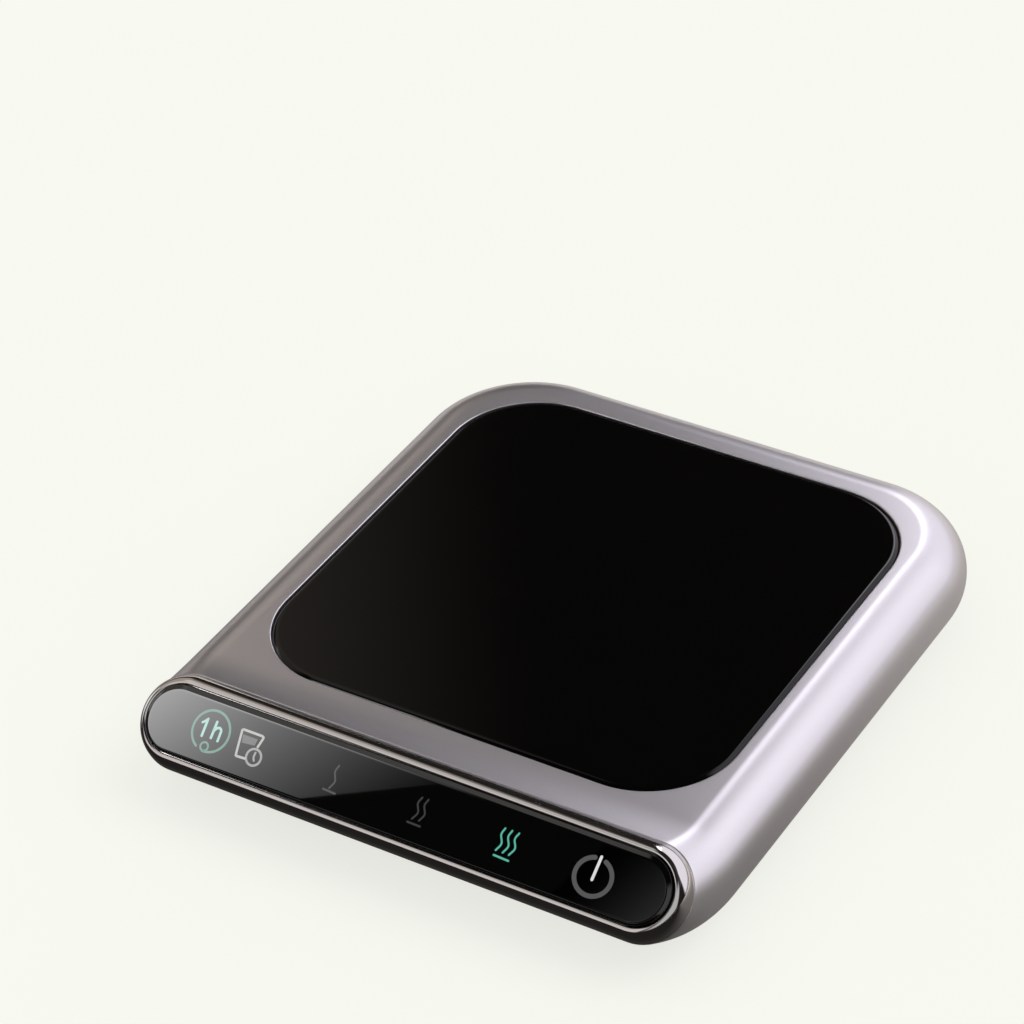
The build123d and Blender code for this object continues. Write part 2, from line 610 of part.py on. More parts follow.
# DC jack: the low-voltage inlet, on the power board with its collar in the rear wall.
with BuildPart() as dc_jack:
    with BuildSketch(Plane.XZ.offset(-JACK_REAR_Y)):
        with Locations((0, JACK_Z)):
            RectangleRounded(JACK_WIDTH, JACK_HEIGHT, JACK_CORNER)
    extrude(amount=JACK_REAR_Y - JACK_FRONT_Y)
    with BuildSketch(Plane.XZ.offset(-JACK_REAR_Y)):
        with Locations((0, JACK_Z)):
            Circle(JACK_COLLAR_RADIUS)
    extrude(amount=JACK_REAR_Y - JACK_COLLAR_Y)
    with BuildSketch(Plane.XZ.offset(-JACK_COLLAR_Y)):
        with Locations((0, JACK_Z)):
            Circle(JACK_BORE_RADIUS)
    extrude(amount=JACK_BORE_DEPTH, mode=Mode.SUBTRACT)
dc_jack.part.label = "dc_jack"
export_step(dc_jack.part, "parts/dc_jack.step")

# Jack pin: the centre contact, standing on the floor of the jack's bore.
with BuildPart() as jack_pin:
    with BuildSketch(Plane.XZ.offset(-JACK_COLLAR_Y + JACK_BORE_DEPTH)):
        with Locations((0, JACK_Z)):
            Circle(JACK_PIN_RADIUS)
    extrude(amount=-JACK_PIN_LENGTH)
    fillet(jack_pin.edges().group_by(Axis.Y)[-1], radius=JACK_PIN_TIP)
jack_pin.part.label = "jack_pin"
export_step(jack_pin.part, "parts/jack_pin.step")

# Detector switch: its body on the power board, with a well for the plunger.
with BuildPart() as detector_switch:
    with BuildSketch(Plane.XY.offset(BOARD_TOP)):
        with Locations(SWITCH_POINT):
            Rectangle(SWITCH[0], SWITCH[1])
    extrude(amount=SWITCH[2])
    with BuildSketch(Plane.XY.offset(BOARD_TOP + SWITCH[2])):
        with Locations(SWITCH_POINT):
            Rectangle(PLUNGER[0] + 2 * PLUNGER_CLEARANCE, PLUNGER[1] + 2 * PLUNGER_CLEARANCE)
    extrude(amount=-PLUNGER_WELL, mode=Mode.SUBTRACT)
detector_switch.part.label = "detector_switch"
export_step(detector_switch.part, "parts/detector_switch.step")

# Switch plunger: pushed down by the carrier's floor.
with BuildPart() as switch_plunger:
    with BuildSketch(Plane.XY.offset(CARRIER_BOTTOM - PLUNGER_GAP)):
        with Locations(SWITCH_POINT):
            Rectangle(*PLUNGER)
    extrude(amount=-PLUNGER_LENGTH)
    chamfer(switch_plunger.edges().group_by(Axis.Z)[-1], length=PLUNGER_EDGE)
switch_plunger.part.label = "switch_plunger"
export_step(switch_plunger.part, "parts/switch_plunger.step")

# Glass plate: black glass-ceramic, bevelled round the top.
with BuildPart() as glass_plate:
    with BuildSketch(Plane.XY.offset(GLASS_BOTTOM)):
        with Locations((0, PLATE_Y)):
            RectangleRounded(OPENING - 2 * PLATE_GAP, OPENING - 2 * PLATE_GAP, OPENING_RADIUS - PLATE_GAP)
    extrude(amount=GLASS_THICKNESS)
    glass_top = glass_plate.faces().sort_by(Axis.Z)[-1]
    chamfer(glass_top.edges(), length=GLASS_BEVEL[0], length2=GLASS_BEVEL[1], reference=glass_top)
glass_plate.part.label = "glass_plate"
export_step(glass_plate.part, "parts/glass_plate.step")

# Heat spreader: the aluminium plate bonded under the glass.
with BuildPart() as heat_spreader:
    with BuildSketch(Plane.XY.offset(SPREADER_BOTTOM)):
        with Locations((0, PLATE_Y)):
            RectangleRounded(SPREADER, SPREADER, SPREADER_RADIUS)
    extrude(amount=SPREADER_THICKNESS)
heat_spreader.part.label = "heat_spreader"
export_step(heat_spreader.part, "parts/heat_spreader.step")

# Heater film: the etched-foil element under the spreader.
with BuildPart() as heater_film:
    with BuildSketch(Plane.XY.offset(FILM_BOTTOM)):
        with Locations((0, PLATE_Y)):
            RectangleRounded(SPREADER, SPREADER, SPREADER_RADIUS)
    extrude(amount=FILM_THICKNESS)
heater_film.part.label = "heater_film"
export_step(heater_film.part, "parts/heater_film.step")

# Insulation pad, with wells for the thermistor, the thermal cutoff and the two heater leads.
with BuildPart() as insulation_pad:
    with BuildSketch(Plane.XY.offset(PAD_BOTTOM)):
        with Locations((0, PLATE_Y)):
            RectangleRounded(SPREADER, SPREADER, SPREADER_RADIUS)
        with Locations((0, PLATE_Y)):
            Rectangle(*THERMISTOR_WELL, mode=Mode.SUBTRACT)
        with Locations((CUTOFF_X, PLATE_Y)):
            Rectangle(*CUTOFF_WELL, mode=Mode.SUBTRACT)
        with Locations(*LEAD_POINTS):
            Circle(LEAD_HOLE_RADIUS, mode=Mode.SUBTRACT)
    extrude(amount=PAD_THICKNESS)
insulation_pad.part.label = "insulation_pad"
export_step(insulation_pad.part, "parts/insulation_pad.step")

# Thermistor: the bead that senses the plate's temperature, against the heater film.
with BuildPart() as thermistor:
    with BuildSketch(Plane.YZ):
        with Locations((PLATE_Y, FILM_BOTTOM - THERMISTOR[0])):
            Circle(THERMISTOR[0])
    extrude(amount=THERMISTOR[1] / 2, both=True)
    fillet(thermistor.edges(), radius=THERMISTOR_EDGE)
thermistor.part.label = "thermistor"
export_step(thermistor.part, "parts/thermistor.step")

# Thermal cutoff: the one-shot fuse against the heater film.
with BuildPart() as thermal_cutoff:
    with BuildSketch(Plane.YZ.offset(CUTOFF_X)):
        with Locations((PLATE_Y, FILM_BOTTOM - CUTOFF[0])):
            Circle(CUTOFF[0])
    extrude(amount=CUTOFF[1] / 2, both=True)
    fillet(thermal_cutoff.edges(), radius=CUTOFF_EDGE)
thermal_cutoff.part.label = "thermal_cutoff"
export_step(thermal_cutoff.part, "parts/thermal_cutoff.step")

# Plate carrier: the black tray bonded under the glass. Eight tabs catch under the shell's ledge.
tab_inner = CARRIER / 2 - 1
with BuildPart() as plate_carrier:
    with BuildSketch(Plane.XY.offset(CARRIER_BOTTOM)):
        with Locations((0, PLATE_Y)):
            RectangleRounded(CARRIER, CARRIER, CARRIER_RADIUS)
    extrude(amount=GLASS_BOTTOM - CARRIER_BOTTOM)
    with BuildSketch(Plane.XY.offset(PAD_BOTTOM)):
        with Locations((0, PLATE_Y)):
            RectangleRounded(
                SPREADER + 2 * POCKET_CLEARANCE,
                SPREADER + 2 * POCKET_CLEARANCE,
                SPREADER_RADIUS + POCKET_CLEARANCE,
            )
    extrude(amount=GLASS_BOTTOM, mode=Mode.SUBTRACT)
    with BuildSketch(Plane.XY.offset(CARRIER_BOTTOM)):
        with Locations((CUTOFF_X, PLATE_Y)):
            Rectangle(*CUTOFF_WELL)
        with Locations(*LEAD_POINTS):
            Circle(LEAD_HOLE_RADIUS)
    extrude(amount=CARRIER_FLOOR, mode=Mode.SUBTRACT)
    with BuildSketch(Plane.XY.offset(LEDGE_BOTTOM)):
        with Locations((0, PLATE_Y)):
            for side in (0, 90, 180, 270):
                with PolarLocations((tab_inner + TAB_REACH) / 2, 1, start_angle=side):
                    with GridLocations(1, TAB_SPACING, 1, 2):
                        Rectangle(TAB_REACH - tab_inner, TAB_LENGTH)
    extrude(amount=-TAB_THICKNESS)
plate_carrier.part.label = "plate_carrier"
export_step(plate_carrier.part, "parts/plate_carrier.step")

# Heater leads: two short wires from the terminal up to the heater film.
with BuildPart() as heater_leads:
    with BuildSketch(Plane.XY.offset(BOARD_TOP + TERMINAL[2])):
        with Locations(*LEAD_POINTS):
            Circle(LEAD_RADIUS)
    extrude(amount=FILM_BOTTOM - BOARD_TOP - TERMINAL[2])
heater_leads.part.label = "heater_leads"
export_step(heater_leads.part, "parts/heater_leads.step")

# Plate springs: four coils over the cover's posts, pressing up on the carrier's floor.
spring_height = CARRIER_BOTTOM - COVER_TOP - SPRING_WIRE
with BuildPart() as plate_springs:
    for spring_x in (-SPRING_SPACING / 2, SPRING_SPACING / 2):
        for spring_y in (PLATE_Y - SPRING_SPACING / 2, PLATE_Y + SPRING_SPACING / 2):
            coil_start = Vector(spring_x, spring_y, COVER_TOP + SPRING_WIRE / 2)
            with BuildLine() as coil:
                Helix(spring_height / SPRING_TURNS, spring_height, SPRING_RADIUS, center=coil_start)
            with BuildSketch(Plane(origin=coil.line @ 0, z_dir=coil.line % 0)):
                Circle(SPRING_WIRE / 2)
            sweep(path=coil.line, is_frenet=True)
plate_springs.part.label = "plate_springs"
export_step(plate_springs.part, "parts/plate_springs.step")
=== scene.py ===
import math

import bmesh
import bpy
from mathutils import Matrix, Vector


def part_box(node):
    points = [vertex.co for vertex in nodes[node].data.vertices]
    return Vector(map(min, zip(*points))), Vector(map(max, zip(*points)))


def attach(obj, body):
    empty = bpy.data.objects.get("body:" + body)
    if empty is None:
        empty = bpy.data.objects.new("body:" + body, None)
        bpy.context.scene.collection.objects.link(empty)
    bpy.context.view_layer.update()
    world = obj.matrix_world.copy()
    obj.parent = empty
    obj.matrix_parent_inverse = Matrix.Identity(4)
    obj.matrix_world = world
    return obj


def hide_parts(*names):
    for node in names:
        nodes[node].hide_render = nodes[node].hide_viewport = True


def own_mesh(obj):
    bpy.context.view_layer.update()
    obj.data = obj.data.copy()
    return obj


bl_info = {
    "name": "Electric Mug Warmer",
    "version": (1, 0, 0),
    "blender": (4, 5, 0),
    "location": "View3D > Sidebar > Mug Warmer",
    "description": "Finishes the solids of a desk mug warmer and sets them on a studio floor",
    "category": "Object",
}

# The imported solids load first, so that the sizes below can come from them.
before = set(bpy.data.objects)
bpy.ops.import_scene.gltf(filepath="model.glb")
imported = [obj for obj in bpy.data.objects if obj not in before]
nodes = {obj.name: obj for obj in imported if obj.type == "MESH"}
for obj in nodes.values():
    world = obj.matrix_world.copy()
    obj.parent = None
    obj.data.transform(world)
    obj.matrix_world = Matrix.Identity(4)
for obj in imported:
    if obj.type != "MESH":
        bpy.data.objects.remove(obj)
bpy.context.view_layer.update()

# --- Shared sizes. Meshes are drawn in millimetres and become metres when a piece is made ----------
MM = 0.001
WELD = 0.002 * MM  # points nearer than this are one point
SHARP = math.radians(32)  # edges that turn by more than this stay crisp

BODY_BOTTOM = 1.2
BODY_TOP = 20.6
BODY_WIDTH = 125.0
REAR_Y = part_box("housing_shell")[1].y / MM
REAR_CORNER = 25.2
WALL = 2.0
ROUND = (BODY_TOP - BODY_BOTTOM) / 2
SPINE_X = BODY_WIDTH / 2 - ROUND
SPINE_CORNER = REAR_CORNER - ROUND
MIDDLE_Z = (BODY_TOP + BODY_BOTTOM) / 2
SIDE_STEPS = 96  # faces round the body's full-round side

NOSE_Y = -46.0
NOSE_TOP = (8.4, 1.0)  # run and rise of its upper line
NOSE_BOTTOM = (23.05, 7.45)
NOSE_NARROWING = 3.1
NOSE_RUN = 14  # about how long its skin is from the body to the mouth

PLATE_Y = 6.3
OPENING = (102.3, 102.3, 19.0)  # width, depth, corner radius
LEDGE = (97.0, 97.0, 16.5)
LEDGE_Z = (14.6, 16.05)
TRAY_WALL = 2.0
COVER_OPENING = (102.0, 103.0, 10.8)
COVER_Y = 7.5
COVER_TOP = 3.2
BOSS_SPACING = 90.0
BOSS_RADIUS = 2.75
SCREW_HOLE = 1.25  # radius, in the cover and in the bosses
SCREW_HOLE_TOP = 11.2
VENT_ROWS = (-16.0, 8.0)
BOARD_BOTTOM = 4.7
BOARD_TOP = 6.3
LEAD_SPACING = 8

# What is set out on a grid: its columns, rows, spacing and middle.
BOSSES = (2, 2, (BOSS_SPACING, BOSS_SPACING), (0, PLATE_Y, 0))
FEET = (2, 2, (72.0, 72.0), (0, PLATE_Y, 0))
SPRINGS = (2, 2, (68.0, 68.0), (0, PLATE_Y, 0))
BOARD_SCREWS = (2, 2, (49.0, 28.3), (0, 41.65, 0))
TURN_SEED = 4  # which way each screw and spring happens to be turned

RING_RISE = 3.9
RING_INNER = (116.54, 14.14)
LENS = (116.04, 13.64)
LENS_TOP = 0.7  # how far its flat stands out from the ring's crest
LEGEND_OUT = (0.68, 0.72)  # and the legends' underside and face
JACK_Z = 10.3
JACK_BORE = ((4.1, 58.0), (4.1, 69.0), (4.5, 69.9), (4.5, 75.0))  # radii and where they lie in depth


def nose_frame(station):
    """Middle, upward direction, half spine and radius of the nose: station 0 at the body, 1 at its mouth."""
    top = Vector((0, NOSE_Y - NOSE_TOP[0] * station, BODY_TOP + NOSE_TOP[1] * station**2))
    bottom = Vector((0, NOSE_Y - NOSE_BOTTOM[0] * station, BODY_BOTTOM + NOSE_BOTTOM[1] * station**2))
    upward = (top - bottom).normalized()
    radius = (top - bottom).length / 2
    width = BODY_WIDTH - NOSE_NARROWING * station**2
    return (top + bottom) / 2, upward, width / 2 - radius, radius


MOUTH_MIDDLE, FACE_UP = nose_frame(1)[:2]
FACE_NORMAL = Vector((1, 0, 0)).cross(FACE_UP)
FACE_MIDDLE = MOUTH_MIDDLE + RING_RISE * FACE_NORMAL


def on_face(x, up, out):
    """A point of the sloping control face: across, up the slope and out from it."""
    return Vector((x, 0, 0)) + FACE_MIDDLE + up * FACE_UP + out * FACE_NORMAL


# --- Outlines ---------------------------------------------------------------------------------------
def slot_outline(width, height, arc_steps=48, straight_steps=40):
    """Points of a slot with full-round ends, counter-clockwise."""
    radius = height / 2
    reach = width / 2 - radius
    points = []
    for side in (1, -1):
        for step in range(arc_steps):
            angle = math.pi * (step / arc_steps - 0.5)
            points.append((side * (reach + radius * math.cos(angle)), side * radius * math.sin(angle)))
        for step in range(straight_steps):
            points.append((side * reach * (1 - 2 * step / straight_steps), side * radius))
    return points


def square_outline(width, depth, radius, arc_steps=24):
    """Points of a rounded rectangle, counter-clockwise."""
    points = []
    for quarter in range(4):
        turn = quarter * math.pi / 2
        diagonal = turn + math.pi / 4
        x = math.copysign(width / 2 - radius, math.cos(diagonal))
        y = math.copysign(depth / 2 - radius, math.sin(diagonal))
        for step in range(arc_steps + 1):
            angle = turn + math.pi / 2 * step / arc_steps
            points.append((x + radius * math.cos(angle), y + radius * math.sin(angle)))
    return points


def square_rows(size, centre_y, profile, arc_steps=24):
    """Rounded rectangles, each the given size grown by a distance and set at a height."""
    width, depth, radius = size
    rows = []
    for beyond, level in profile:
        outline = square_outline(width + 2 * beyond, depth + 2 * beyond, radius + beyond, arc_steps)
        rows.append([(x, y + centre_y, level) for x, y in outline])
    return rows


def circle_outline(radius, steps=48):
    """Points of a circle, counter-clockwise."""
    return [
        (radius * math.cos(2 * math.pi * step / steps), radius * math.sin(2 * math.pi * step / steps))
        for step in range(steps)
    ]


def nearest_on_square(x, y, width, depth, radius):
    """Nearest point of a rounded rectangle to one outside it, and the outline's outward direction there."""
    core_x = width / 2 - radius
    core_y = depth / 2 - radius
    inside = Vector((max(-core_x, min(core_x, x)), max(-core_y, min(core_y, y))))
    outward = (Vector((x, y)) - inside).normalized()
    return inside + radius * outward, outward


# --- Meshes -----------------------------------------------------------------------------------------
class Form:
    """Gathers the points and faces of one piece, in millimetres."""

    def __init__(self):
        self.points = []
        self.faces = []
        self.finishes = []

    def rows(self, rows, around=True, ends=False, finish=0):
        """Quads between rows of points; around closes each row, ends joins the last row to the first."""
        first = len(self.points)
        count = len(rows[0])
        for row in rows:
            self.points.extend(Vector(point) for point in row)
        steps = len(rows) if ends else len(rows) - 1
        for row in range(steps):
            here = first + row * count
            there = first + (row + 1) % len(rows) * count
            for column in range(count if around else count - 1):
                after = (column + 1) % count
                self.faces.append((here + column, here + after, there + after, there + column))
                self.finishes.append(finish)

    def cap(self, row, finish=0):
        """One flat face on a row of points."""
        first = len(self.points)
        self.points.extend(Vector(point) for point in row)
        self.faces.append(tuple(range(first, first + len(row))))
        self.finishes.append(finish)

    def stack(self, rows, finish=0):
        """Closed body of rows of points, capped at both ends."""
        self.rows(rows, finish=finish)
        self.cap(rows[0], finish)
        self.cap(rows[-1], finish)
        return self

    def turned(self, profile, steps=48):
        """Closed round body from radii and heights."""
        return self.stack([
            [(x, y, level) for x, y in circle_outline(radius, steps)] for radius, level in profile
        ])

    def make(self, name, *materials, sharp=SHARP):
        """The finished object: welded, faces outward, smooth but for edges sharper than the given angle."""
        mesh = bpy.data.meshes.new(name)
        mesh.from_pydata([tuple(point * MM) for point in self.points], [], self.faces)
        mesh.polygons.foreach_set("material_index", self.finishes)
        for material in materials:
            mesh.materials.append(material)
        tidy_mesh(mesh)
        mesh.shade_smooth()
        mesh.set_sharp_from_angle(angle=sharp)
        piece = bpy.data.objects.new(name, mesh)
        bpy.context.scene.collection.objects.link(piece)
        return piece


def tidy_mesh(mesh):
    """Welds the seams, drops faces with no area and turns every face outward."""
    work = bmesh.new()
    work.from_mesh(mesh)
    bmesh.ops.remove_doubles(work, verts=work.verts, dist=WELD)
    bmesh.ops.dissolve_degenerate(work, edges=work.edges, dist=WELD)
    bmesh.ops.recalc_face_normals(work, faces=work.faces)
    work.to_mesh(mesh)
    work.free()


def spread(low, high, steps):
    """Evenly spaced values from low to high, both included."""
    return [low + (high - low) * step / steps for step in range(steps + 1)]


# --- Materials --------------------------------------------------------------------------------------
def linear(code):
    """An sRGB hex colour as linear red, green and blue."""
    channels = []
    for start in (1, 3, 5):
        value = int(code[start:start + 2], 16) / 255
        channels.append(value / 12.92 if value <= 0.04045 else ((value + 0.055) / 1.055) ** 2.4)
    return tuple(channels)


def painted(shade):
    """A colour from an sRGB hex code or from a setting, as red, green, blue and alpha."""
    return (*(linear(shade) if isinstance(shade, str) else shade), 1.0)


def add_node(tree, kind, inputs=(), **settings):
    """Adds a node with its settings; each input is another node's output or a plain value."""
    node = tree.nodes.new(kind)
    for name, value in settings.items():
        setattr(node, name, value)
    for socket, source in dict(inputs).items():
        if isinstance(source, bpy.types.NodeSocket):
            tree.links.new(source, node.inputs[socket])
        else:
            node.inputs[socket].default_value = source
    return node


def new_material(name):
    """An empty material, its nodes and the place on the piece that its pattern reads."""
    material = bpy.data.materials.new(name)
    material.use_nodes = True
    tree = material.node_tree
    tree.nodes.clear()
    return material, tree, add_node(tree, "ShaderNodeTexCoord").outputs["Object"]


def grained(name, light, dark, grain, roughness, bump=0.0, stretch=(1, 1, 1), **shader):
    """A surface whose colour, roughness and relief vary with a noise of the given grain in millimetres."""
    material, tree, place = new_material(name)
    scaled = add_node(
        tree, "ShaderNodeMapping", {"Vector": place, "Scale": [part / (grain * MM) for part in stretch]}
    )
    noise = add_node(
        tree, "ShaderNodeTexNoise",
        {"Vector": scaled.outputs["Vector"], "Scale": 1.0, "Detail": 3.0, "Roughness": 0.55},
    ).outputs["Fac"]
    tone = add_node(
        tree, "ShaderNodeMix", {0: noise, 6: painted(dark), 7: painted(light)}, data_type="RGBA"
    )
    gloss = add_node(
        tree, "ShaderNodeMapRange",
        {"Value": noise, "From Min": 0.3, "From Max": 0.7, "To Min": roughness[0], "To Max": roughness[1]},
    )
    shader.update({"Base Color": tone.outputs[2], "Roughness": gloss.outputs["Result"]})
    if bump:
        relief = add_node(tree, "ShaderNodeBump", {"Height": noise, "Strength": 1.0, "Distance": bump * MM})
        shader["Normal"] = relief.outputs["Normal"]
    surface = add_node(tree, "ShaderNodeBsdfPrincipled", shader)
    add_node(tree, "ShaderNodeOutputMaterial", {"Surface": surface.outputs["BSDF"]})
    return material


def lit(name, shade):
    """A legend that glows evenly through the lens under the same gloss as the lens: lit from behind where
    its setting is on, a painted glow where it is off.
    """
    material, tree, place = new_material(name)
    noise = add_node(tree, "ShaderNodeTexNoise", {"Vector": place, "Scale": 1 / (0.8 * MM)})
    glow = add_node(
        tree, "ShaderNodeMapRange", {"Value": noise.outputs["Fac"], "To Min": 0.92, "To Max": 1.08}
    )
    surface = add_node(tree, "ShaderNodeBsdfPrincipled", {
        "Base Color": painted("#0A0A0A"), "Roughness": 0.12, "Emission Color": painted(shade),
        "Emission Strength": glow.outputs["Result"],
    })
    add_node(tree, "ShaderNodeOutputMaterial", {"Surface": surface.outputs["BSDF"]})
    return material


# --- Properties -------------------------------------------------------------------------------------
def length(label, description, millimetres):
    """A size that a user can change, given in millimetres."""
    return bpy.props.FloatProperty(
        name=label, description=description, default=millimetres * MM, min=0.0, unit="LENGTH", precision=5
    )


def colour(label, description, code):
    """A colour that a user can change, given as sRGB hex."""
    return bpy.props.FloatVectorProperty(
        name=label, description=description, default=linear(code), size=3, min=0, max=1, subtype="COLOR"
    )


class WarmerShellSettings(bpy.types.PropertyGroup):
    opening_round: length("Opening rounding", "Radius of the edge round the hot plate", 0.22)
    mouth_round: length("Mouth rounding", "Radius of the edge against the chrome ring", 0.24)
    lacquer: colour("Lacquer", "Silver lacquer", "#DCDADE")
    flake: colour("Flake", "Darker flakes in the lacquer", "#D4D2D6")


class WarmerBaseSettings(bpy.types.PropertyGroup):
    vents: bpy.props.IntProperty(name="Vents", description="Vents in a row", default=7, min=2, max=9)
    vent_pitch: length("Vent pitch", "From one vent to the next", 5.0)
    vent_length: length("Vent length", "Length of a vent", 16.0)
    vent_width: length("Vent width", "Width of a vent", 2.0)
    vent_rim: length("Vent rim", "Chamfer round a vent", 0.3)
    foot_radius: length("Foot radius", "Radius of a rubber foot", 5.0)
    plastic: colour("Plastic", "Black plastic of the base", "#1B1B1D")
    plastic_grain: colour("Plastic grain", "Pits in the black plastic", "#121214")
    rubber: colour("Rubber", "Silicone rubber of the feet", "#232324")
    rubber_grain: colour("Rubber grain", "Darker spots in the rubber", "#1A1A1B")
    zinc: colour("Zinc", "Plating of the screws", "#B4B6B8")
    zinc_marks: colour("Zinc marks", "Darker marks in the plating", "#8E9092")


class WarmerFaceSettings(bpy.types.PropertyGroup):
    chrome: colour("Chrome", "Chrome plating", "#D8D5D4")
    chrome_haze: colour("Chrome haze", "Darker haze in the plating", "#D0CDCC")
    smoke: colour("Smoked lens", "Smoked acrylic", "#030303")
    smoke_depth: colour("Smoked lens depth", "Darkest parts of the acrylic", "#010101")
    mint: colour("Timer figures", "Lit 1h", "#AED7CD")
    sage: colour("Timer ring", "Lit ring round 1h", "#7A9D90")
    teal: colour("Chosen heat", "Lit heat waves", "#58B4A0")
    white: colour("Cup", "Lit outline of the cup", "#BEBEBC")
    bright: colour("Power bar", "Bar of the power symbol", "#DADAD8")
    silver: colour("Clock", "Lit ring of the clock", "#A6A6A5")
    fill: colour("Cup's filling", "Lit patch in the cup", "#7C7C7B")
    # The legends that are off glow in these two greys: a painted glow, with no light behind them.
    grey: colour("Unlit legend", "Legends that are off", "#545454")
    dim: colour("Dim legend", "Faintest legend", "#383838")
    ring_width: length("Ring width", "Width of the ring's rounded face", 2.52)
    lens_bevel_in: length("Lens bevel width", "How far the lens's bevel reaches in", 0.64)
    lens_bevel_down: length("Lens bevel depth", "How far the lens's bevel drops", 0.42)
    lens_drop: length("Lens face offset", "How far the lens's flat sits below its middle", 0.28)


class WarmerPlateSettings(bpy.types.PropertyGroup):
    bevel_in: length("Bevel width", "How far the glass's bevel reaches in", 0.75)
    bevel_down: length("Bevel depth", "How far the glass's bevel drops", 0.5)
    arris: length("Arris", "Width of the polished arris at the top of the bevel", 0.12)
    glass: colour("Glass", "Black glass-ceramic", "#060505")
    glass_depth: colour("Glass depth", "Darkest parts of the glass", "#030303")
    spring_radius: length("Spring radius", "Radius of a coil", 2.7)
    spring_wire: length("Spring wire", "Thickness of the spring's wire", 0.6)
    spring_turns: bpy.props.FloatProperty(
        name="Spring turns", description="Turns of a spring", default=4.0, min=1.0
    )
    spring: colour("Spring steel", "Bright spring wire", "#C4C5C7")
    spring_marks: colour("Spring marks", "Drawing marks along the wire", "#9A9B9E")
    lead: colour("Lead", "Insulation of the heater leads", "#B8231B")
    lead_marks: colour("Lead marks", "Darker patches of the insulation", "#9E1A14")


class WarmerStageSettings(bpy.types.PropertyGroup):
    paper: colour("Paper", "Floor and backdrop", "#F8F9F2")
    paper_cloud: colour("Paper cloud", "Lighter patches of the paper", "#F9FAF3")


SETTINGS = {
    "warmer_shell": WarmerShellSettings,
    "warmer_base": WarmerBaseSettings,
    "warmer_face": WarmerFaceSettings,
    "warmer_plate": WarmerPlateSettings,
    "warmer_stage": WarmerStageSettings,
}


# --- Repeated details -------------------------------------------------------------------------------
def start_tree(name, inputs):
    """New geometry nodes that take a mesh, the named inputs and a material, and what they are given."""
    tree = bpy.data.node_groups.new(name, "GeometryNodeTree")
    for label, kind in (("Mesh", "Geometry"), *inputs, ("Material", "Material")):
        tree.interface.new_socket(label, in_out="INPUT", socket_type=f"NodeSocket{kind}")
    tree.interface.new_socket("Mesh", in_out="OUTPUT", socket_type="NodeSocketGeometry")
    return tree, add_node(tree, "NodeGroupInput").outputs


def end_tree(tree, given, result):
    """Ends geometry nodes in one real mesh of the given material."""
    whole = add_node(tree, "GeometryNodeRealizeInstances", {"Geometry": result})
    finished = add_node(
        tree, "GeometryNodeSetMaterial", {"Geometry": whole.outputs[0], "Material": given["Material"]}
    )
    add_node(tree, "NodeGroupOutput", {"Mesh": finished.outputs[0]})
    return tree


def repeat_tree():
    """Geometry nodes that set a mesh out on a grid, each copy turned by its own fixed angle."""
    tree, given = start_tree("set_out_on_grid", (
        ("Columns", "Int"), ("Rows", "Int"), ("Column Spacing", "Float"), ("Row Spacing", "Float"),
        ("Middle", "Vector"), ("Turn", "Float"), ("Seed", "Int"),
    ))
    grid = add_node(
        tree, "GeometryNodeMeshGrid", {"Vertices X": given["Columns"], "Vertices Y": given["Rows"]}
    )
    for side, count, spacing in (("X", "Columns", "Column Spacing"), ("Y", "Rows", "Row Spacing")):
        gaps = add_node(tree, "ShaderNodeMath", {0: given[count], 1: 1}, operation="SUBTRACT")
        size = add_node(
            tree, "ShaderNodeMath", {0: gaps.outputs[0], 1: given[spacing]}, operation="MULTIPLY"
        )
        tree.links.new(size.outputs[0], grid.inputs[f"Size {side}"])
    placed = add_node(
        tree, "GeometryNodeTransform", {"Geometry": grid.outputs["Mesh"], "Translation": given["Middle"]}
    )
    angle = add_node(
        tree, "FunctionNodeRandomValue", {3: given["Turn"], "Seed": given["Seed"]}, data_type="FLOAT"
    )
    turn = add_node(tree, "ShaderNodeCombineXYZ", {"Z": angle.outputs[1]})
    copies = add_node(
        tree, "GeometryNodeInstanceOnPoints",
        {"Points": placed.outputs[0], "Instance": given["Mesh"], "Rotation": turn.outputs[0]},
    )
    return end_tree(tree, given, copies.outputs[0])


def coil_tree():
    """Geometry nodes that run a round wire along a coil."""
    tree, given = start_tree("wire_along_coil", (
        ("Turns", "Float"), ("Radius", "Float"), ("Height", "Float"), ("Wire Radius", "Float"),
        ("Start", "Vector"),
    ))
    coil = add_node(tree, "GeometryNodeCurveSpiral", {
        "Resolution": 40, "Rotations": given["Turns"], "Start Radius": given["Radius"],
        "End Radius": given["Radius"], "Height": given["Height"],
    })
    placed = add_node(
        tree, "GeometryNodeTransform", {"Geometry": coil.outputs[0], "Translation": given["Start"]}
    )
    section = add_node(
        tree, "GeometryNodeCurvePrimitiveCircle", {"Resolution": 14, "Radius": given["Wire Radius"]}
    )
    wire = add_node(
        tree, "GeometryNodeCurveToMesh",
        {"Curve": placed.outputs[0], "Profile Curve": section.outputs[0], "Fill Caps": True},
    )
    return end_tree(tree, given, wire.outputs[0])


def run_nodes(piece, tree, values):
    """Gives a piece the result of a node tree with the named inputs, as one plain mesh."""
    nodes_of_piece = piece.modifiers.new(tree.name, "NODES")
    nodes_of_piece.node_group = tree
    for socket in tree.interface.items_tree:
        if socket.in_out == "INPUT" and socket.name in values:
            nodes_of_piece[socket.identifier] = values[socket.name]
    finish_mesh(piece)
    return piece


def set_out(piece, material, columns, rows, spacing, middle, turn=0.0):
    """Sets a piece out on a grid, with sizes in millimetres, and leaves one plain mesh."""
    return run_nodes(piece, repeat_tree(), {
        "Columns": columns, "Rows": rows, "Column Spacing": spacing[0] * MM, "Row Spacing": spacing[1] * MM,
        "Middle": tuple(part * MM for part in middle), "Turn": turn, "Seed": TURN_SEED,
        "Material": material,
    })


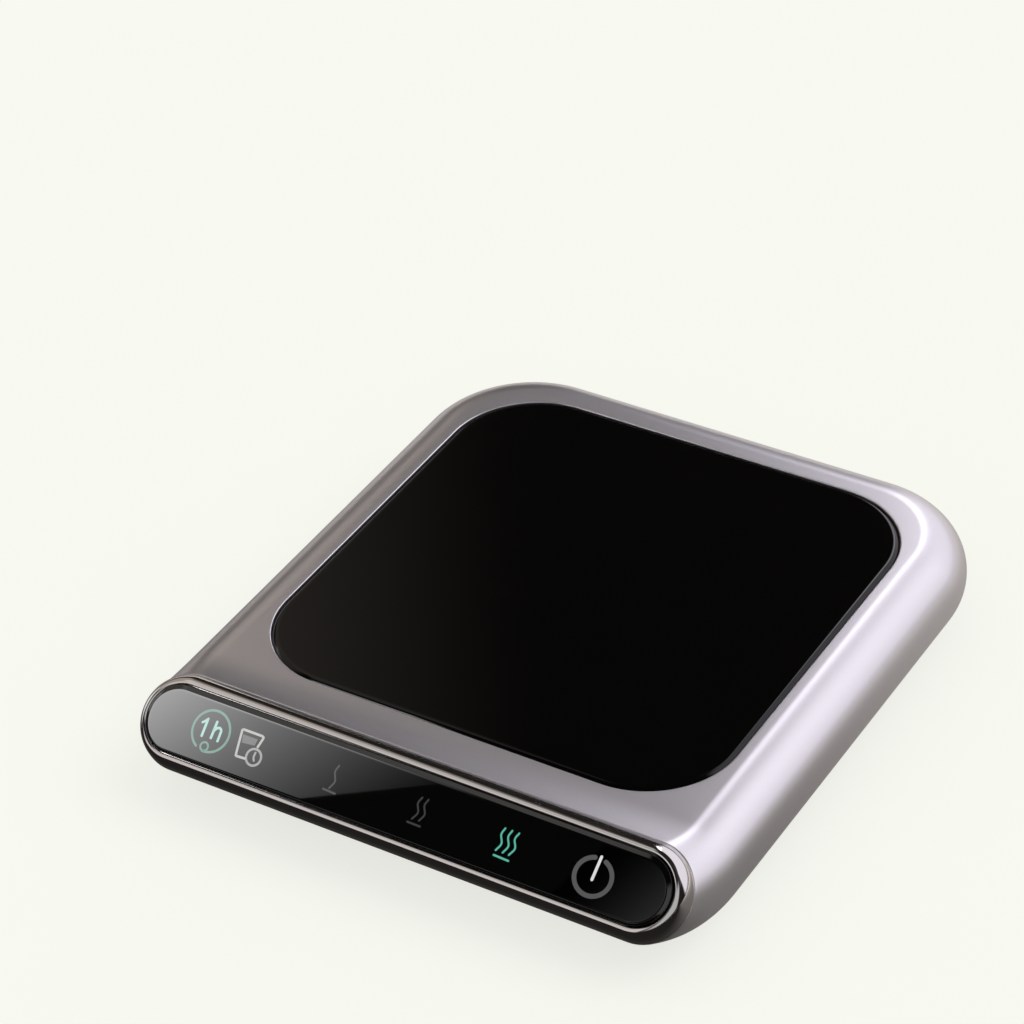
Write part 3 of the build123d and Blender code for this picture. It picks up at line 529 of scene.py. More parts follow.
def carve(piece, *steps):
    """Adds or takes away other closed meshes, which are then removed."""
    for operation, other in steps:
        cut = piece.modifiers.new(other.name, "BOOLEAN")
        cut.operation = operation
        cut.object = other
        cut.solver = "EXACT"
    finish_mesh(piece)
    for _, other in steps:
        bpy.data.objects.remove(other)
    return piece


def finish_mesh(piece):
    """Turns the piece and its modifiers into one plain mesh."""
    graph = bpy.context.evaluated_depsgraph_get()
    mesh = bpy.data.meshes.new_from_object(piece.evaluated_get(graph))
    piece.modifiers.clear()
    piece.data = mesh
    mesh.shade_smooth()
    mesh.set_sharp_from_angle(angle=SHARP)


# --- Housing shell ----------------------------------------------------------------------------------
# Points across the nose, closer together beside its corners.
NOSE_COLUMNS = [*spread(-SPINE_X, -32, 20), *spread(-32, 32, 16)[1:-1], *spread(32, SPINE_X, 20)]


def nose_loop(station, inset):
    """Closed outline of the nose's skin: top from left to right, right side, bottom, left side."""
    middle, upward, spine, radius = nose_frame(station)
    radius -= inset
    row = [middle + Vector((x / SPINE_X * spine, 0, 0)) + radius * upward for x in NOSE_COLUMNS]
    for side in (1, -1):
        for step in range(1, SIDE_STEPS):
            angle = math.pi * step / SIDE_STEPS
            along = side * math.cos(angle) * radius
            row.append(middle + Vector((side * (spine + radius * math.sin(angle)), 0, 0)) + along * upward)
        if side == 1:
            row.extend(
                middle + Vector((x / SPINE_X * spine, 0, 0)) - radius * upward
                for x in reversed(NOSE_COLUMNS)
            )
    return row


def spine_path():
    """Points and outward directions of the body's spine, from the right front round the rear to the left."""
    corner_x = SPINE_X - SPINE_CORNER
    corner_y = REAR_Y - REAR_CORNER
    corner_steps = 32
    # Closer together beside the nose, and behind across the inlet.
    side = [*spread(NOSE_Y, -26, 20), *spread(-26, 38, 12)[1:], *spread(38, corner_y, 6)[1:]]
    path = [(Vector((SPINE_X, y, 0)), Vector((1, 0, 0))) for y in side]
    for angle in spread(0, math.pi / 2, corner_steps)[1:]:
        outward = Vector((math.cos(angle), math.sin(angle), 0))
        path.append((Vector((corner_x, corner_y, 0)) + SPINE_CORNER * outward, outward))
    rear = [*spread(corner_x, 8, 8), *spread(8, -8, 32)[1:-1], *spread(-8, -corner_x, 8)]
    path.extend((Vector((x, corner_y + SPINE_CORNER, 0)), Vector((0, 1, 0))) for x in rear[1:-1])
    mirrored = [
        (Vector((-point.x, point.y, 0)), Vector((-outward.x, outward.y, 0)))
        for point, outward in path[:len(side) + corner_steps]
    ]
    return path + mirrored[::-1]


def add_skin(form, inset, top_rows, bottom_rows):
    """One skin of the body behind its nose: full-round sides and rear, and the flats up to both openings."""
    path = spine_path()
    radius = ROUND - inset
    lift = Vector((0, 0, MIDDLE_Z))
    sweep = []
    for point, outward in path:
        sweep.append([
            point + lift + radius * (math.sin(angle) * outward + Vector((0, 0, math.cos(angle))))
            for angle in spread(0, math.pi, SIDE_STEPS)
        ])
    form.rows(sweep, around=False)
    front = [Vector((x, NOSE_Y, 0)) for x in NOSE_COLUMNS]
    plan = front + [point for point, outward in path[1:-1]]
    for z, centre_y, opening, levels in (
        (MIDDLE_Z + radius, PLATE_Y, OPENING, top_rows),
        (MIDDLE_Z - radius, COVER_Y, COVER_OPENING, bottom_rows),
    ):
        rows = [[point + Vector((0, 0, z)) for point in plan]]
        for beyond, level in levels:
            row = []
            for point in plan:
                edge, outward = nearest_on_square(point.x, point.y - centre_y, *opening)
                at = edge + beyond * outward
                row.append(Vector((at.x, at.y + centre_y, level)))
            rows.append(row)
        form.rows(rows)


def build_housing(settings):
    """The silver moulding, with its tray wall, ledge and screw bosses."""
    form = Form()
    fillet = settings.opening_round / MM
    top_rows = [(fillet + 0.12, BODY_TOP)]
    for turn in spread(0, math.pi / 2, 6):
        top_rows.append((fillet * (1 - math.sin(turn)), BODY_TOP - fillet * (1 - math.cos(turn))))
    top_rows.append((0, BODY_TOP - WALL))
    bottom_rows = (
        (0.42, BODY_BOTTOM), (0.3, BODY_BOTTOM), (0.09, BODY_BOTTOM + 0.09), (0, BODY_BOTTOM + 0.3),
        (0, BODY_BOTTOM + WALL),
    )
    add_skin(form, 0, top_rows, bottom_rows)
    add_skin(form, WALL, [(0, BODY_TOP - WALL)], [(0, BODY_BOTTOM + WALL)])
    edge = settings.mouth_round / MM
    rounding = 1 - edge / NOSE_RUN  # the station where the mouth's rounding begins
    corner = list(zip(nose_loop(rounding, 0), nose_loop(1, 0), nose_loop(1, edge)))
    rows = [nose_loop(station, 0) for station in spread(0, rounding, 16)]
    for t in spread(0, 1, 4)[1:]:
        rows.append([(1 - t) ** 2 * a + 2 * t * (1 - t) * b + t**2 * c for a, b, c in corner])
    rows += [nose_loop(station, WALL) for station in spread(1, 0, 8)]
    form.rows(rows)
    tray_top = BODY_TOP - WALL
    tray = (
        (0, LEDGE_Z[1]), (0, tray_top), (0.3, tray_top + 0.3), (TRAY_WALL, tray_top + 0.3),
        (TRAY_WALL, LEDGE_Z[0]),
    )
    ledge = ((0, LEDGE_Z[0]), (0, LEDGE_Z[1]))
    form.rows(square_rows(OPENING, PLATE_Y, tray) + square_rows(LEDGE, PLATE_Y, ledge), ends=True)
    boss = (
        (BOSS_RADIUS, LEDGE_Z[0] + 0.1), (BOSS_RADIUS, COVER_TOP), (SCREW_HOLE, COVER_TOP),
        (SCREW_HOLE, SCREW_HOLE_TOP),
    )
    half = BOSS_SPACING / 2
    for boss_x in (-half, half):
        for boss_y in (PLATE_Y - half, PLATE_Y + half):
            form.stack([
                [(boss_x + x, boss_y + y, level) for x, y in circle_outline(radius)]
                for radius, level in boss
            ])
    return form


def jack_cutter():
    """A plug with a flared mouth that bores the inlet's hole through the rear wall."""
    rows = [[(x, y, JACK_Z + z) for x, z in circle_outline(radius, 64)] for radius, y in JACK_BORE]
    return Form().stack(rows).make("jack_cutter")


class WARMER_OT_housing(bpy.types.Operator):
    """Builds the silver housing"""

    bl_idname = "mug_warmer.housing"
    bl_label = "Silver housing"

    def execute(self, context):
        # Satin silver lacquer sprayed on moulded ABS: soft wide highlights over a faint sparkle. The flake
        # is drawn about ten times as coarse as it is, so that it shows.
        settings = context.scene.warmer_shell
        lacquer = grained(
            "satin_silver_lacquer", settings.lacquer, settings.flake, 0.35, (0.29, 0.33), Metallic=0.95
        )
        piece = carve(build_housing(settings).make("silver_housing", lacquer), ("DIFFERENCE", jack_cutter()))
        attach(piece, "housing")
        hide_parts("housing_shell")
        return {"FINISHED"}


# --- Base: cover, screws and feet -------------------------------------------------------------------
def build_cover(settings, material):
    """The black cover with its vents, countersinks, foot recesses, spring posts and board standoffs."""
    edge = (
        (-0.45, BODY_BOTTOM), (-0.24, BODY_BOTTOM + 0.09), (-0.15, BODY_BOTTOM + 0.3), (-0.15, COVER_TOP),
    )
    post = ((2.2, COVER_TOP - 0.5), (2.2, COVER_TOP + 1.7), (1.9, COVER_TOP + 2.0))
    standoff = (
        (2.5, COVER_TOP - 0.5), (2.5, BOARD_BOTTOM), (1.05, BOARD_BOTTOM), (1.05, COVER_TOP - 0.1),
    )
    countersink = ((2.85, BODY_BOTTOM - 0.4), (SCREW_HOLE, BODY_BOTTOM + 1.2), (SCREW_HOLE, COVER_TOP + 1))
    radius = settings.foot_radius / MM + 0.08
    recess = ((radius + 0.35, BODY_BOTTOM - 0.1), (radius, BODY_BOTTOM + 0.25), (radius, BODY_BOTTOM + 0.8))
    rim = settings.vent_rim / MM
    vent = []
    for beyond, level in ((2 * rim, BODY_BOTTOM - rim), (0, BODY_BOTTOM + rim), (0, COVER_TOP + 1)):
        outline = slot_outline(
            settings.vent_length / MM + 2 * beyond, settings.vent_width / MM + 2 * beyond, 12, 1
        )
        vent.append([(-y, x, level) for x, y in outline])
    rows_apart = VENT_ROWS[1] - VENT_ROWS[0]
    vents = (settings.vents, 2, (settings.vent_pitch / MM, rows_apart), (0, sum(VENT_ROWS) / 2, 0))
    steps = []
    for operation, name, form, layout in (
        ("UNION", "spring_posts", Form().turned(post), SPRINGS),
        ("UNION", "standoffs", Form().turned(standoff), BOARD_SCREWS),
        ("DIFFERENCE", "vents", Form().stack(vent), vents),
        ("DIFFERENCE", "countersinks", Form().turned(countersink), BOSSES),
        ("DIFFERENCE", "foot_recesses", Form().turned(recess), FEET),
    ):
        steps.append((operation, set_out(form.make(name, material), material, *layout)))
    cover = Form().stack(square_rows(COVER_OPENING, COVER_Y, edge))
    return carve(cover.make("base_cover_moulding", material), *steps)


def build_screw(name, profile, recess_low, recess_high, material):
    """A screw with a tapering cross recess between two heights; the first is at the head's face."""
    cross = []
    for level, far, near in (
        (recess_low - 0.2 * (recess_high - recess_low), 1.25, 0.33), (recess_high, 0.55, 0.2),
    ):
        quarter = ((far, -near), (far, near), (near, near))
        cross.append([
            (x * turn_x - y * turn_y, x * turn_y + y * turn_x, level)
            for turn_x, turn_y in ((1, 0), (0, 1), (-1, 0), (0, -1)) for x, y in quarter
        ])
    screw = Form().turned(profile).make(name, material)
    return carve(screw, ("DIFFERENCE", Form().stack(cross).make("cross_recess")))


class WARMER_OT_base(bpy.types.Operator):
    """Builds the base cover, its screws, the board's screws and the feet"""

    bl_idname = "mug_warmer.base"
    bl_label = "Base, screws and feet"

    def execute(self, context):
        settings = context.scene.warmer_base
        # Spark-eroded black ABS: matt, with a fine even grain.
        black = grained(
            "spark_textured_black", settings.plastic, settings.plastic_grain, 0.3, (0.5, 0.62), 0.02
        )
        # Zinc-plated steel: bright grey with faint turning marks.
        zinc = grained(
            "zinc_plated_steel", settings.zinc, settings.zinc_marks, 0.4, (0.25, 0.4), Metallic=1.0
        )
        # Soft silicone rubber: dull, slightly dusty black.
        rubber = grained(
            "silicone_rubber", settings.rubber, settings.rubber_grain, 0.6, (0.7, 0.85), 0.01
        )
        cover = build_cover(settings, black)
        profile = [(2.3, BODY_BOTTOM), (2.4, BODY_BOTTOM + 0.1), (1.2, BODY_BOTTOM + 1.2)]
        for level in spread(0, 5.6, 8)[:-1]:
            profile += [(1.2, BODY_BOTTOM + 1.5 + level), (0.92, BODY_BOTTOM + 1.85 + level)]
        profile += [(1.0, BODY_BOTTOM + 7.2), (0.3, BODY_BOTTOM + 8.0)]
        screws = build_screw("cover_screw_set", profile, BODY_BOTTOM, BODY_BOTTOM + 0.9, zinc)
        set_out(screws, zinc, *BOSSES, math.pi / 2)
        top = BOARD_TOP + 1.2
        profile = (
            (1.2, top), (1.55, top - 0.12), (1.8, top - 0.42), (1.9, top - 0.8), (1.9, BOARD_TOP),
            (1.0, BOARD_TOP), (1.0, BOARD_TOP - 2.8), (0.6, BOARD_TOP - 3.1),
        )
        board_screws = build_screw("board_screw_set", profile, top, top - 0.7, zinc)
        set_out(board_screws, zinc, *BOARD_SCREWS, math.pi / 2)
        radius = settings.foot_radius / MM
        profile = (
            (radius - 2.1, 0.25), (radius - 1.8, 0.0), (radius - 0.3, 0.0), (radius - 0.09, 0.09),
            (radius, 0.3), (radius, BODY_BOTTOM + 0.8),
        )
        feet = Form().turned(profile).make("rubber_foot_set", rubber)
        set_out(feet, rubber, *FEET)
        for piece, node, finish in (
            (cover, "base_cover", "black_plastic"), (screws, "cover_screws", "screw_steel"),
            (board_screws, "board_screws", "screw_steel"), (feet, "rubber_feet", "foot_rubber"),
        ):
            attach(piece, "housing")
            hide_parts(node)
        return {"FINISHED"}


# --- Chrome ring, lens and symbols ------------------------------------------------------------------
def face_rows(size, profile, shift=0.0):
    """Slot outlines round the control face, each grown by a distance and lifted to a height."""
    rows = []
    for beyond, out in profile:
        outline = slot_outline(size[0] + 2 * beyond, size[1] + 2 * beyond)
        rows.append([on_face(x, up + shift, out) for x, up in outline])
    return rows


# The ring's section: how steeply it falls, in degrees, at parts of its width from its inner edge.
RING_SLOPES = (
    (0.0, -60), (0.04, -38), (0.1, -22), (0.18, -14), (0.18, 11), (0.3, 22), (0.4, 35), (0.5, 48),
    (0.64, 58), (0.8, 67), (0.95, 75), (1.0, 80),
)
# Its hidden back, from the outer side to the lens's seat: out from its inner edge and up from its crest.
RING_BACK = (
    (2.6, -3.62), (2.6, -3.9), (0.33, -3.9), (0.33, -4.7), (-0.17, -4.7), (-0.17, -3.5), (-1.52, -3.5),
    (-1.52, -2.0),
)


def ring_crest(width, steps=5):
    """Points across the ring's rounded face, whose crest lies at height 0."""
    slopes = []
    for (start, slope), (end, next_slope) in zip(RING_SLOPES, RING_SLOPES[1:]):
        for step in range(steps):
            part = step / steps
            slopes.append((start + (end - start) * part, slope + (next_slope - slope) * part))
    slopes.append(RING_SLOPES[-1])
    points = [(0.0, 0.0)]
    for (start, slope), (end, next_slope) in zip(slopes, slopes[1:]):
        fall = math.tan(math.radians((slope + next_slope) / 2)) * (end - start) * width
        points.append((end * width, points[-1][1] - fall))
    crest = max(level for _, level in points)
    return [(beyond, level - crest) for beyond, level in points]


class WARMER_OT_ring(bpy.types.Operator):
    """Builds the chrome ring round the control strip"""

    bl_idname = "mug_warmer.ring"
    bl_label = "Chrome ring"

    def execute(self, context):
        # Bright chrome plating on plastic: a dark mirror with crisp lines.
        settings = context.scene.warmer_face
        chrome = grained(
            "bright_chrome_plating", settings.chrome, settings.chrome_haze, 6.0, (0.06, 0.1), Metallic=1.0
        )
        profile = [(0, -2.0), *ring_crest(settings.ring_width / MM), *RING_BACK]
        form = Form()
        form.rows(face_rows(RING_INNER, profile), ends=True)
        piece = form.make("chrome_ring", chrome, sharp=math.radians(18))
        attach(piece, "housing")
        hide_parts("bezel_ring")
        return {"FINISHED"}


class WARMER_OT_lens(bpy.types.Operator):
    """Builds the smoked lens"""

    bl_idname = "mug_warmer.lens"
    bl_label = "Smoked lens"

    def execute(self, context):
        # Polished smoked acrylic: nearly black, with the sharp reflections of a wet surface.
        settings = context.scene.warmer_face
        smoked = grained(
            "smoked_acrylic", settings.smoke, settings.smoke_depth, 9.0, (0.012, 0.02),
            **{"Specular IOR Level": 0.9},
        )
        inward = settings.lens_bevel_in / MM
        drop = settings.lens_drop / MM
        top = LENS_TOP
        low = top - settings.lens_bevel_down / MM
        rows = []
        for beyond, out, lowered in (
            (0.19, -1.8, 0), (0.19, -0.6, 0), (0.02, low - 0.14, 0), (0, low - 0.04, 0), (-0.03, low, 0),
            (-0.09, low + 0.03, 0.1), (-inward + 0.06, top - 0.03, 0.9), (-inward, top - 0.006, 1),
            (-inward - 0.06, top, 1), (-inward - 0.4, top, 1),
        ):
            rows += face_rows(LENS, [(beyond, out)], -drop * lowered)
        piece = Form().stack(rows).make("smoked_lens", smoked, sharp=math.radians(50))
        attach(piece, "housing")
        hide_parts("control_lens")
        return {"FINISHED"}


def smooth_line(points, steps=10):
    """A line through the points with rounded turns."""
    ends = [2 * Vector(points[0]) - Vector(points[1]), *map(Vector, points)]
    ends.append(2 * Vector(points[-1]) - Vector(points[-2]))
    line = []
    for a, b, c, d in zip(ends, ends[1:], ends[2:], ends[3:]):
        for step in range(steps):
            t = step / steps
            square = (2 * a - 5 * b + 4 * c - d) * t**2
            cube = (3 * b - a - 3 * c + d) * t**3
            line.append(0.5 * (2 * b + (c - a) * t + square + cube))
    return [*line, Vector(points[-1])]


def arc_line(centre, radius, start, end, steps=40):
    """Points along an arc, angles in degrees."""
    return [
        Vector(centre) + radius * Vector((math.cos(math.radians(a)), math.sin(math.radians(a))))
        for a in spread(start, end, steps)
    ]


def add_stroke(form, line, width, finish=0, closed=False):
    """A flat stroke with round ends along a line on the lens, as a closed strip."""
    low, high = LEGEND_OUT
    line = [Vector(point) for point in line]
    stations = []
    count = len(line)
    for index, point in enumerate(line):
        before = line[index - 1] if index or closed else point
        after = line[(index + 1) % count] if index < count - 1 or closed else point
        stations.append((point, (after - before).normalized(), width / 2))
    if not closed:
        first, last = stations[0], stations[-1]
        for angle in (math.radians(20), math.radians(40), math.radians(60), math.radians(78)):
            reach = width / 2 * math.sin(angle)
            half = width / 2 * math.cos(angle)
            stations.insert(0, (first[0] - reach * first[1], first[1], half))
            stations.append((last[0] + reach * last[1], last[1], half))
    rows = []
    for point, along, half in stations:
        across = Vector((-along.y, along.x))
        left = point + half * across
        right = point - half * across
        rows.append([
            on_face(*left, low), on_face(*right, low), on_face(*right, high), on_face(*left, high)
        ])
    form.rows(rows, ends=closed, finish=finish)
    if not closed:
        form.cap(rows[0], finish)
        form.cap(rows[-1], finish)


def add_patch(form, corners, finish=0):
    """A flat filled shape on the lens, as a closed slab a little lower than the strokes."""
    low, high = LEGEND_OUT
    form.stack([[on_face(x, up, level) for x, up in corners] for level in (low, high - 0.01)], finish)


def symbol_timer(form):
    """1h in a ring that ends in a small ring: the timer."""
    ring = arc_line((-42.98, 0.07), 4.1, -95, 241)
    add_stroke(form, ring, 0.5, finish=1)
    add_stroke(form, arc_line((-43.2, -3.13), 0.84, 0, 345, 23), 0.42, finish=1, closed=True)
    add_stroke(form, smooth_line([(-45.45, 1.14), (-44.95, 1.55), (-44.55, 2.08)]), 0.46)
    add_stroke(form, [(-44.52, 2.1), (-44.56, -1.35)], 0.54)
    add_stroke(form, [(-42.43, 2.15), (-42.5, -1.15)], 0.54)
    arch = [(-42.4, 0.35), (-42.0, 0.98), (-41.4, 1.2), (-40.95, 0.85), (-40.88, 0.15), (-40.88, -1.28)]
    add_stroke(form, smooth_line(arch), 0.52)


def symbol_cup(form):
    """A cup with a clock over its corner."""
    left = [(-36.3, 2.57), (-36.62, 2.45), (-36.62, 2.1), (-36.1, -2.2), (-35.95, -2.62), (-35.5, -2.68)]
    right = [(-32.15, 2.57), (-31.78, 2.42), (-31.76, 2.05), (-32.2, 0.3)]
    add_stroke(form, [(-36.4, 2.57), (-32.1, 2.57)], 0.48)
    add_stroke(form, smooth_line(left), 0.48)
    add_stroke(form, [(-35.6, -2.68), (-33.9, -2.6)], 0.48)
    add_stroke(form, smooth_line(right), 0.48)
    add_patch(form, [(-36.19, 1.66), (-35.77, 0.07), (-32.95, 0.34), (-32.75, 1.68)], finish=1)
    add_stroke(form, arc_line((-32.25, -1.8), 1.62, 0, 350, 35), 0.46, finish=2, closed=True)
    add_stroke(form, smooth_line([(-32.2, -0.85), (-32.25, -1.75), (-31.95, -2.4)]), 0.42, finish=2)


def symbol_heat(form, tops, bottoms, bar):
    """Rising heat waves over a bar."""
    for top, bottom in zip(tops, bottoms):
        (x0, y0), (x3, y3) = top, bottom
        first = (x0 + 0.5 * (x3 - x0) - 0.2, y0 + 0.3 * (y3 - y0))
        second = (x0 + 0.5 * (x3 - x0) + 0.48, y0 + 0.66 * (y3 - y0))
        add_stroke(form, smooth_line([top, first, second, bottom]), 0.36)
    add_stroke(form, bar, 0.4)


def symbol_power(form):
    """Open ring with a bar: power."""
    ring = [(point.x, -0.75 + 0.955 * point.y) for point in arc_line((42.47, 0), 3.75, 104, 428, 60)]
    add_stroke(form, ring, 0.9)
    add_stroke(form, [(42.72, 3.2), (42.47, -1.3)], 0.58, finish=1)


class WARMER_OT_symbols(bpy.types.Operator):
    """Draws the six legends on the lens"""

    bl_idname = "mug_warmer.symbols"
    bl_label = "Legends"

    def execute(self, context):
        # Legends lit from behind: pale teal and teal where a setting is on. Where it is off they glow grey,
        # a painted glow that stands for their grey look.
        settings = context.scene.warmer_face
        inks = {}
        for state, names in (
            ("lit", ("mint", "sage", "teal", "white", "bright", "silver", "fill")),
            ("unlit", ("grey", "dim")),
        ):
            for name in names:
                inks[name] = lit(f"{state}_{name}_legend", getattr(settings, name))
        low = ([(-14.35, 2.35)], [(-14.68, -2.3)], [(-15.86, -2.79), (-13.14, -2.92)])
        middle = (
            [(4.39, 2.1), (5.75, 2.1)], [(3.88, -2.3), (5.4, -2.2)], [(3.2, -3.1), (6.0, -3.14)]
        )
        high = (
            [(22.6, 2.05), (24.1, 2.05), (25.6, 2.05)],
            [(22.3, -2.35), (23.8, -2.35), (25.15, -2.35)],
            [(22.25, -3.3), (25.45, -3.41)],
        )
        for name, draw, shape, used in (
            ("symbol_timer", symbol_timer, (), ("mint", "sage")),
            ("symbol_cup", symbol_cup, (), ("white", "fill", "silver")),
            ("symbol_heat_low", symbol_heat, low, ("grey",)),
            ("symbol_heat_middle", symbol_heat, middle, ("dim",)),
            ("symbol_heat_high", symbol_heat, high, ("teal",)),
            ("symbol_power", symbol_power, (), ("grey", "bright")),
        ):
            form = Form()
            draw(form, *shape)
            piece = form.make(name, *(inks[ink] for ink in used))
            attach(piece, "housing")
        return {"FINISHED"}


# --- Hot plate --------------------------------------------------------------------------------------
class WARMER_OT_glass(bpy.types.Operator):
    """Builds the black glass hot plate"""

    bl_idname = "mug_warmer.glass"
    bl_label = "Glass plate"

    def execute(self, context):
        # Polished black glass-ceramic: deep black with a ground and polished bevel.
        settings = context.scene.warmer_plate
        glass = grained(
            "black_glass_ceramic", settings.glass, settings.glass_depth, 14.0, (0.03, 0.05),
            **{"Specular IOR Level": 0.36},
        )
        inward = settings.bevel_in / MM
        down = settings.bevel_down / MM
        arris = settings.arris / MM
        low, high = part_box("glass_plate")
        size = (high.x - low.x) / MM
        radius = OPENING[2] - (OPENING[0] - size) / 2
        top = high.z / MM
        bottom = low.z / MM
        profile = (
            (-0.25, bottom), (0, bottom + 0.25), (0, top - down - 0.05), (-0.06, top - down),
            (-inward + arris / 2, top - 0.035), (-inward, top - 0.008), (-inward - arris / 2, top),
            (-inward - 0.6, top),
        )
        form = Form().stack(square_rows((size, size, radius), PLATE_Y, profile, 40))
        piece = form.make("glass_hot_plate", glass, sharp=math.radians(50))
        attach(piece, "hot_plate")
        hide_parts("glass_plate")
        return {"FINISHED"}


class WARMER_OT_springs(bpy.types.Operator):
    """Builds the springs and wires under the hot plate"""

    bl_idname = "mug_warmer.springs"
    bl_label = "Springs and heater leads"

    def execute(self, context):
        settings = context.scene.warmer_plate
        # Drawn spring steel: bright, with fine marks along the wire.
        steel = grained(
            "bright_spring_wire", settings.spring, settings.spring_marks, 0.25, (0.2, 0.32), Metallic=1.0
        )
        # Silicone insulation: soft, a little dull, red all through.
        silicone = grained("red_silicone", settings.lead, settings.lead_marks, 0.5, (0.5, 0.65), 0.01)
        low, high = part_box("plate_springs")
        wire = settings.spring_wire
        springs = Form().make("plate_spring_set", steel)
        run_nodes(springs, coil_tree(), {
            "Turns": settings.spring_turns, "Radius": settings.spring_radius,
            "Height": high.z - low.z - wire, "Wire Radius": wire / 2,
            "Start": (0.0, 0.0, low.z + wire / 2), "Material": steel,
        })
        set_out(springs, steel, *SPRINGS, math.pi)
        start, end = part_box("heater_leads")
        bottom, top = start.z / MM, end.z / MM
        profile = ((0.55, bottom), (0.6, bottom + 0.05), (0.6, top - 0.9), (0.3, top - 0.8), (0.3, top))
        leads = Form().turned(profile, 24).make("heater_lead_set", silicone)
        set_out(leads, silicone, 2, 1, (LEAD_SPACING, 0), (0, (start.y + end.y) / 2 / MM, 0))
        for piece, node, finish, foot, head in (
            (springs, "plate_springs", "spring_steel", low.z, high.z),
            (leads, "heater_leads", "lead_silicone", start.z, end.z),
        ):
            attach(piece, "housing")
            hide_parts(node)
            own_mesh(piece)
        return {"FINISHED"}


# --- Finishes of the remaining solids ---------------------------------------------------------------
class WARMER_OT_finishes(bpy.types.Operator):
    """Gives every carried-over solid its finish"""

    bl_idname = "mug_warmer.finishes"
    bl_label = "Inner and lower parts"

    def execute(self, context):
        # Moulded nylon: an even half-matt black.
        black = grained("moulded_black_nylon", "#1C1C1E", "#141416", 0.8, (0.42, 0.55), 0.004)
        # Cut foam: black with no shine, open cells.
        foam = grained("adhesive_foam", "#121212", "#0A0A0A", 0.2, (0.85, 0.95), 0.03)
        # Ink on film: a flat dense black.
        print_black = grained("black_screen_print", "#101010", "#0B0B0B", 0.8, (0.4, 0.5))
        # Diffusing plastic: milky white that spreads the light.
        diffuser = grained("light_diffusing_white", "#F1F0EC", "#E6E5E0", 1.2, (0.45, 0.55))
        # Solder mask over the glass weave: glossy green with a darker cloth pattern.
        laminate = grained("solder_masked_laminate", "#1F6B3C", "#12502A", 1.4, (0.3, 0.42), 0.01)
        # Drawn steel: bright, with fine marks.
        steel = grained("drawn_spring_steel", "#C4C5C7", "#9A9B9E", 0.25, (0.2, 0.32), Metallic=1.0)
        # Cast resin over the diode: glossy, faintly green white.
        resin = grained("led_resin", "#E8F2E6", "#D6E4D4", 0.4, (0.15, 0.25))
        # Filled epoxy: matt charcoal with a fine grain.
        epoxy = grained("moulded_epoxy", "#1E1E20", "#161617", 0.12, (0.5, 0.65), 0.006)
        # Natural nylon: creamy, slightly waxy.
        nylon = grained("natural_nylon", "#E9E3D2", "#DDD6C3", 0.9, (0.35, 0.5))
        # Ribbed vinyl: soft grey with lines along the conductors.
        vinyl = grained("grey_vinyl", "#8C8E92", "#7C7E82", 0.7, (0.4, 0.5), 0.01, (1, 0.1, 1))
        # Pressed powder: dull dark grey, slightly gritty.
        ferrite = grained("pressed_ferrite", "#3A3A3C", "#2B2B2D", 0.2, (0.6, 0.75), 0.02)
        # Drawn can: bright aluminium with soft reflections.
        can = grained("drawn_aluminium_can", "#D4D6DA", "#BFC1C6", 0.4, (0.22, 0.34), Metallic=1.0)
        # Flashed brass: pale warm yellow metal.
        brass = grained("flashed_brass", "#DCC48A", "#C9AE70", 0.5, (0.2, 0.3), Metallic=1.0)
        # Rolled sheet: grey metal with long rolling lines.
        sheet = grained(
            "rolled_aluminium", "#D2D3D5", "#BCBEC1", 0.5, (0.3, 0.42), 0.004, (1, 0.06, 1), Metallic=1.0
        )
        # Film over an etched foil: glossy amber, darker over the tracks.
        amber = grained("amber_film", "#B4742A", "#8E5418", 2.2, (0.25, 0.4))
        # Ceramic-fibre felt: off-white, fluffy, no shine.
        felt = grained("ceramic_felt", "#EFECE4", "#DAD5CA", 0.4, (0.9, 1.0), 0.08)
        # Glass bead in its sleeve: shiny orange brown.
        bead = grained("glass_bead", "#C98A4C", "#A86A30", 0.5, (0.12, 0.2))
        # Tinned case: slightly yellow, soft metal shine.
        case = grained("tinned_case", "#C6C3BD", "#ABA8A2", 0.5, (0.25, 0.38), Metallic=1.0)
        finishes = {
            "board_holder": black, "dc_jack": black, "plate_carrier": black, "lens_gasket": foam,
            "legend_film": print_black, "light_guide": diffuser, "strip_board": laminate,
            "power_board": laminate, "touch_electrodes": steel, "indicator_leds": resin,
            "touch_chip": epoxy, "power_transistor": epoxy, "detector_switch": epoxy,
            "strip_socket": nylon, "power_socket": nylon, "heater_terminal": nylon,
            "switch_plunger": nylon, "ribbon_cable": vinyl, "buck_inductor": ferrite,
            "filter_capacitors": can, "jack_pin": brass, "heat_spreader": sheet, "heater_film": amber,
            "insulation_pad": felt, "thermistor": bead, "thermal_cutoff": case,
        }
        for name, material in finishes.items():
            mesh = nodes[name].data
            mesh.materials.clear()
            mesh.materials.append(material)
        return {"FINISHED"}


# --- Stage ------------------------------------------------------------------------------------------
CAMERA_PLACE = (0.31248, -0.49489, 0.48702)
CAMERA_RIGHT = (0.8553, 0.5156, -0.0517)
CAMERA_UP = (-0.2769, 0.5391, 0.7954)
CAMERA_BACK = (0.4380, -0.6660, 0.6038)
CAMERA_LENS = 132.24

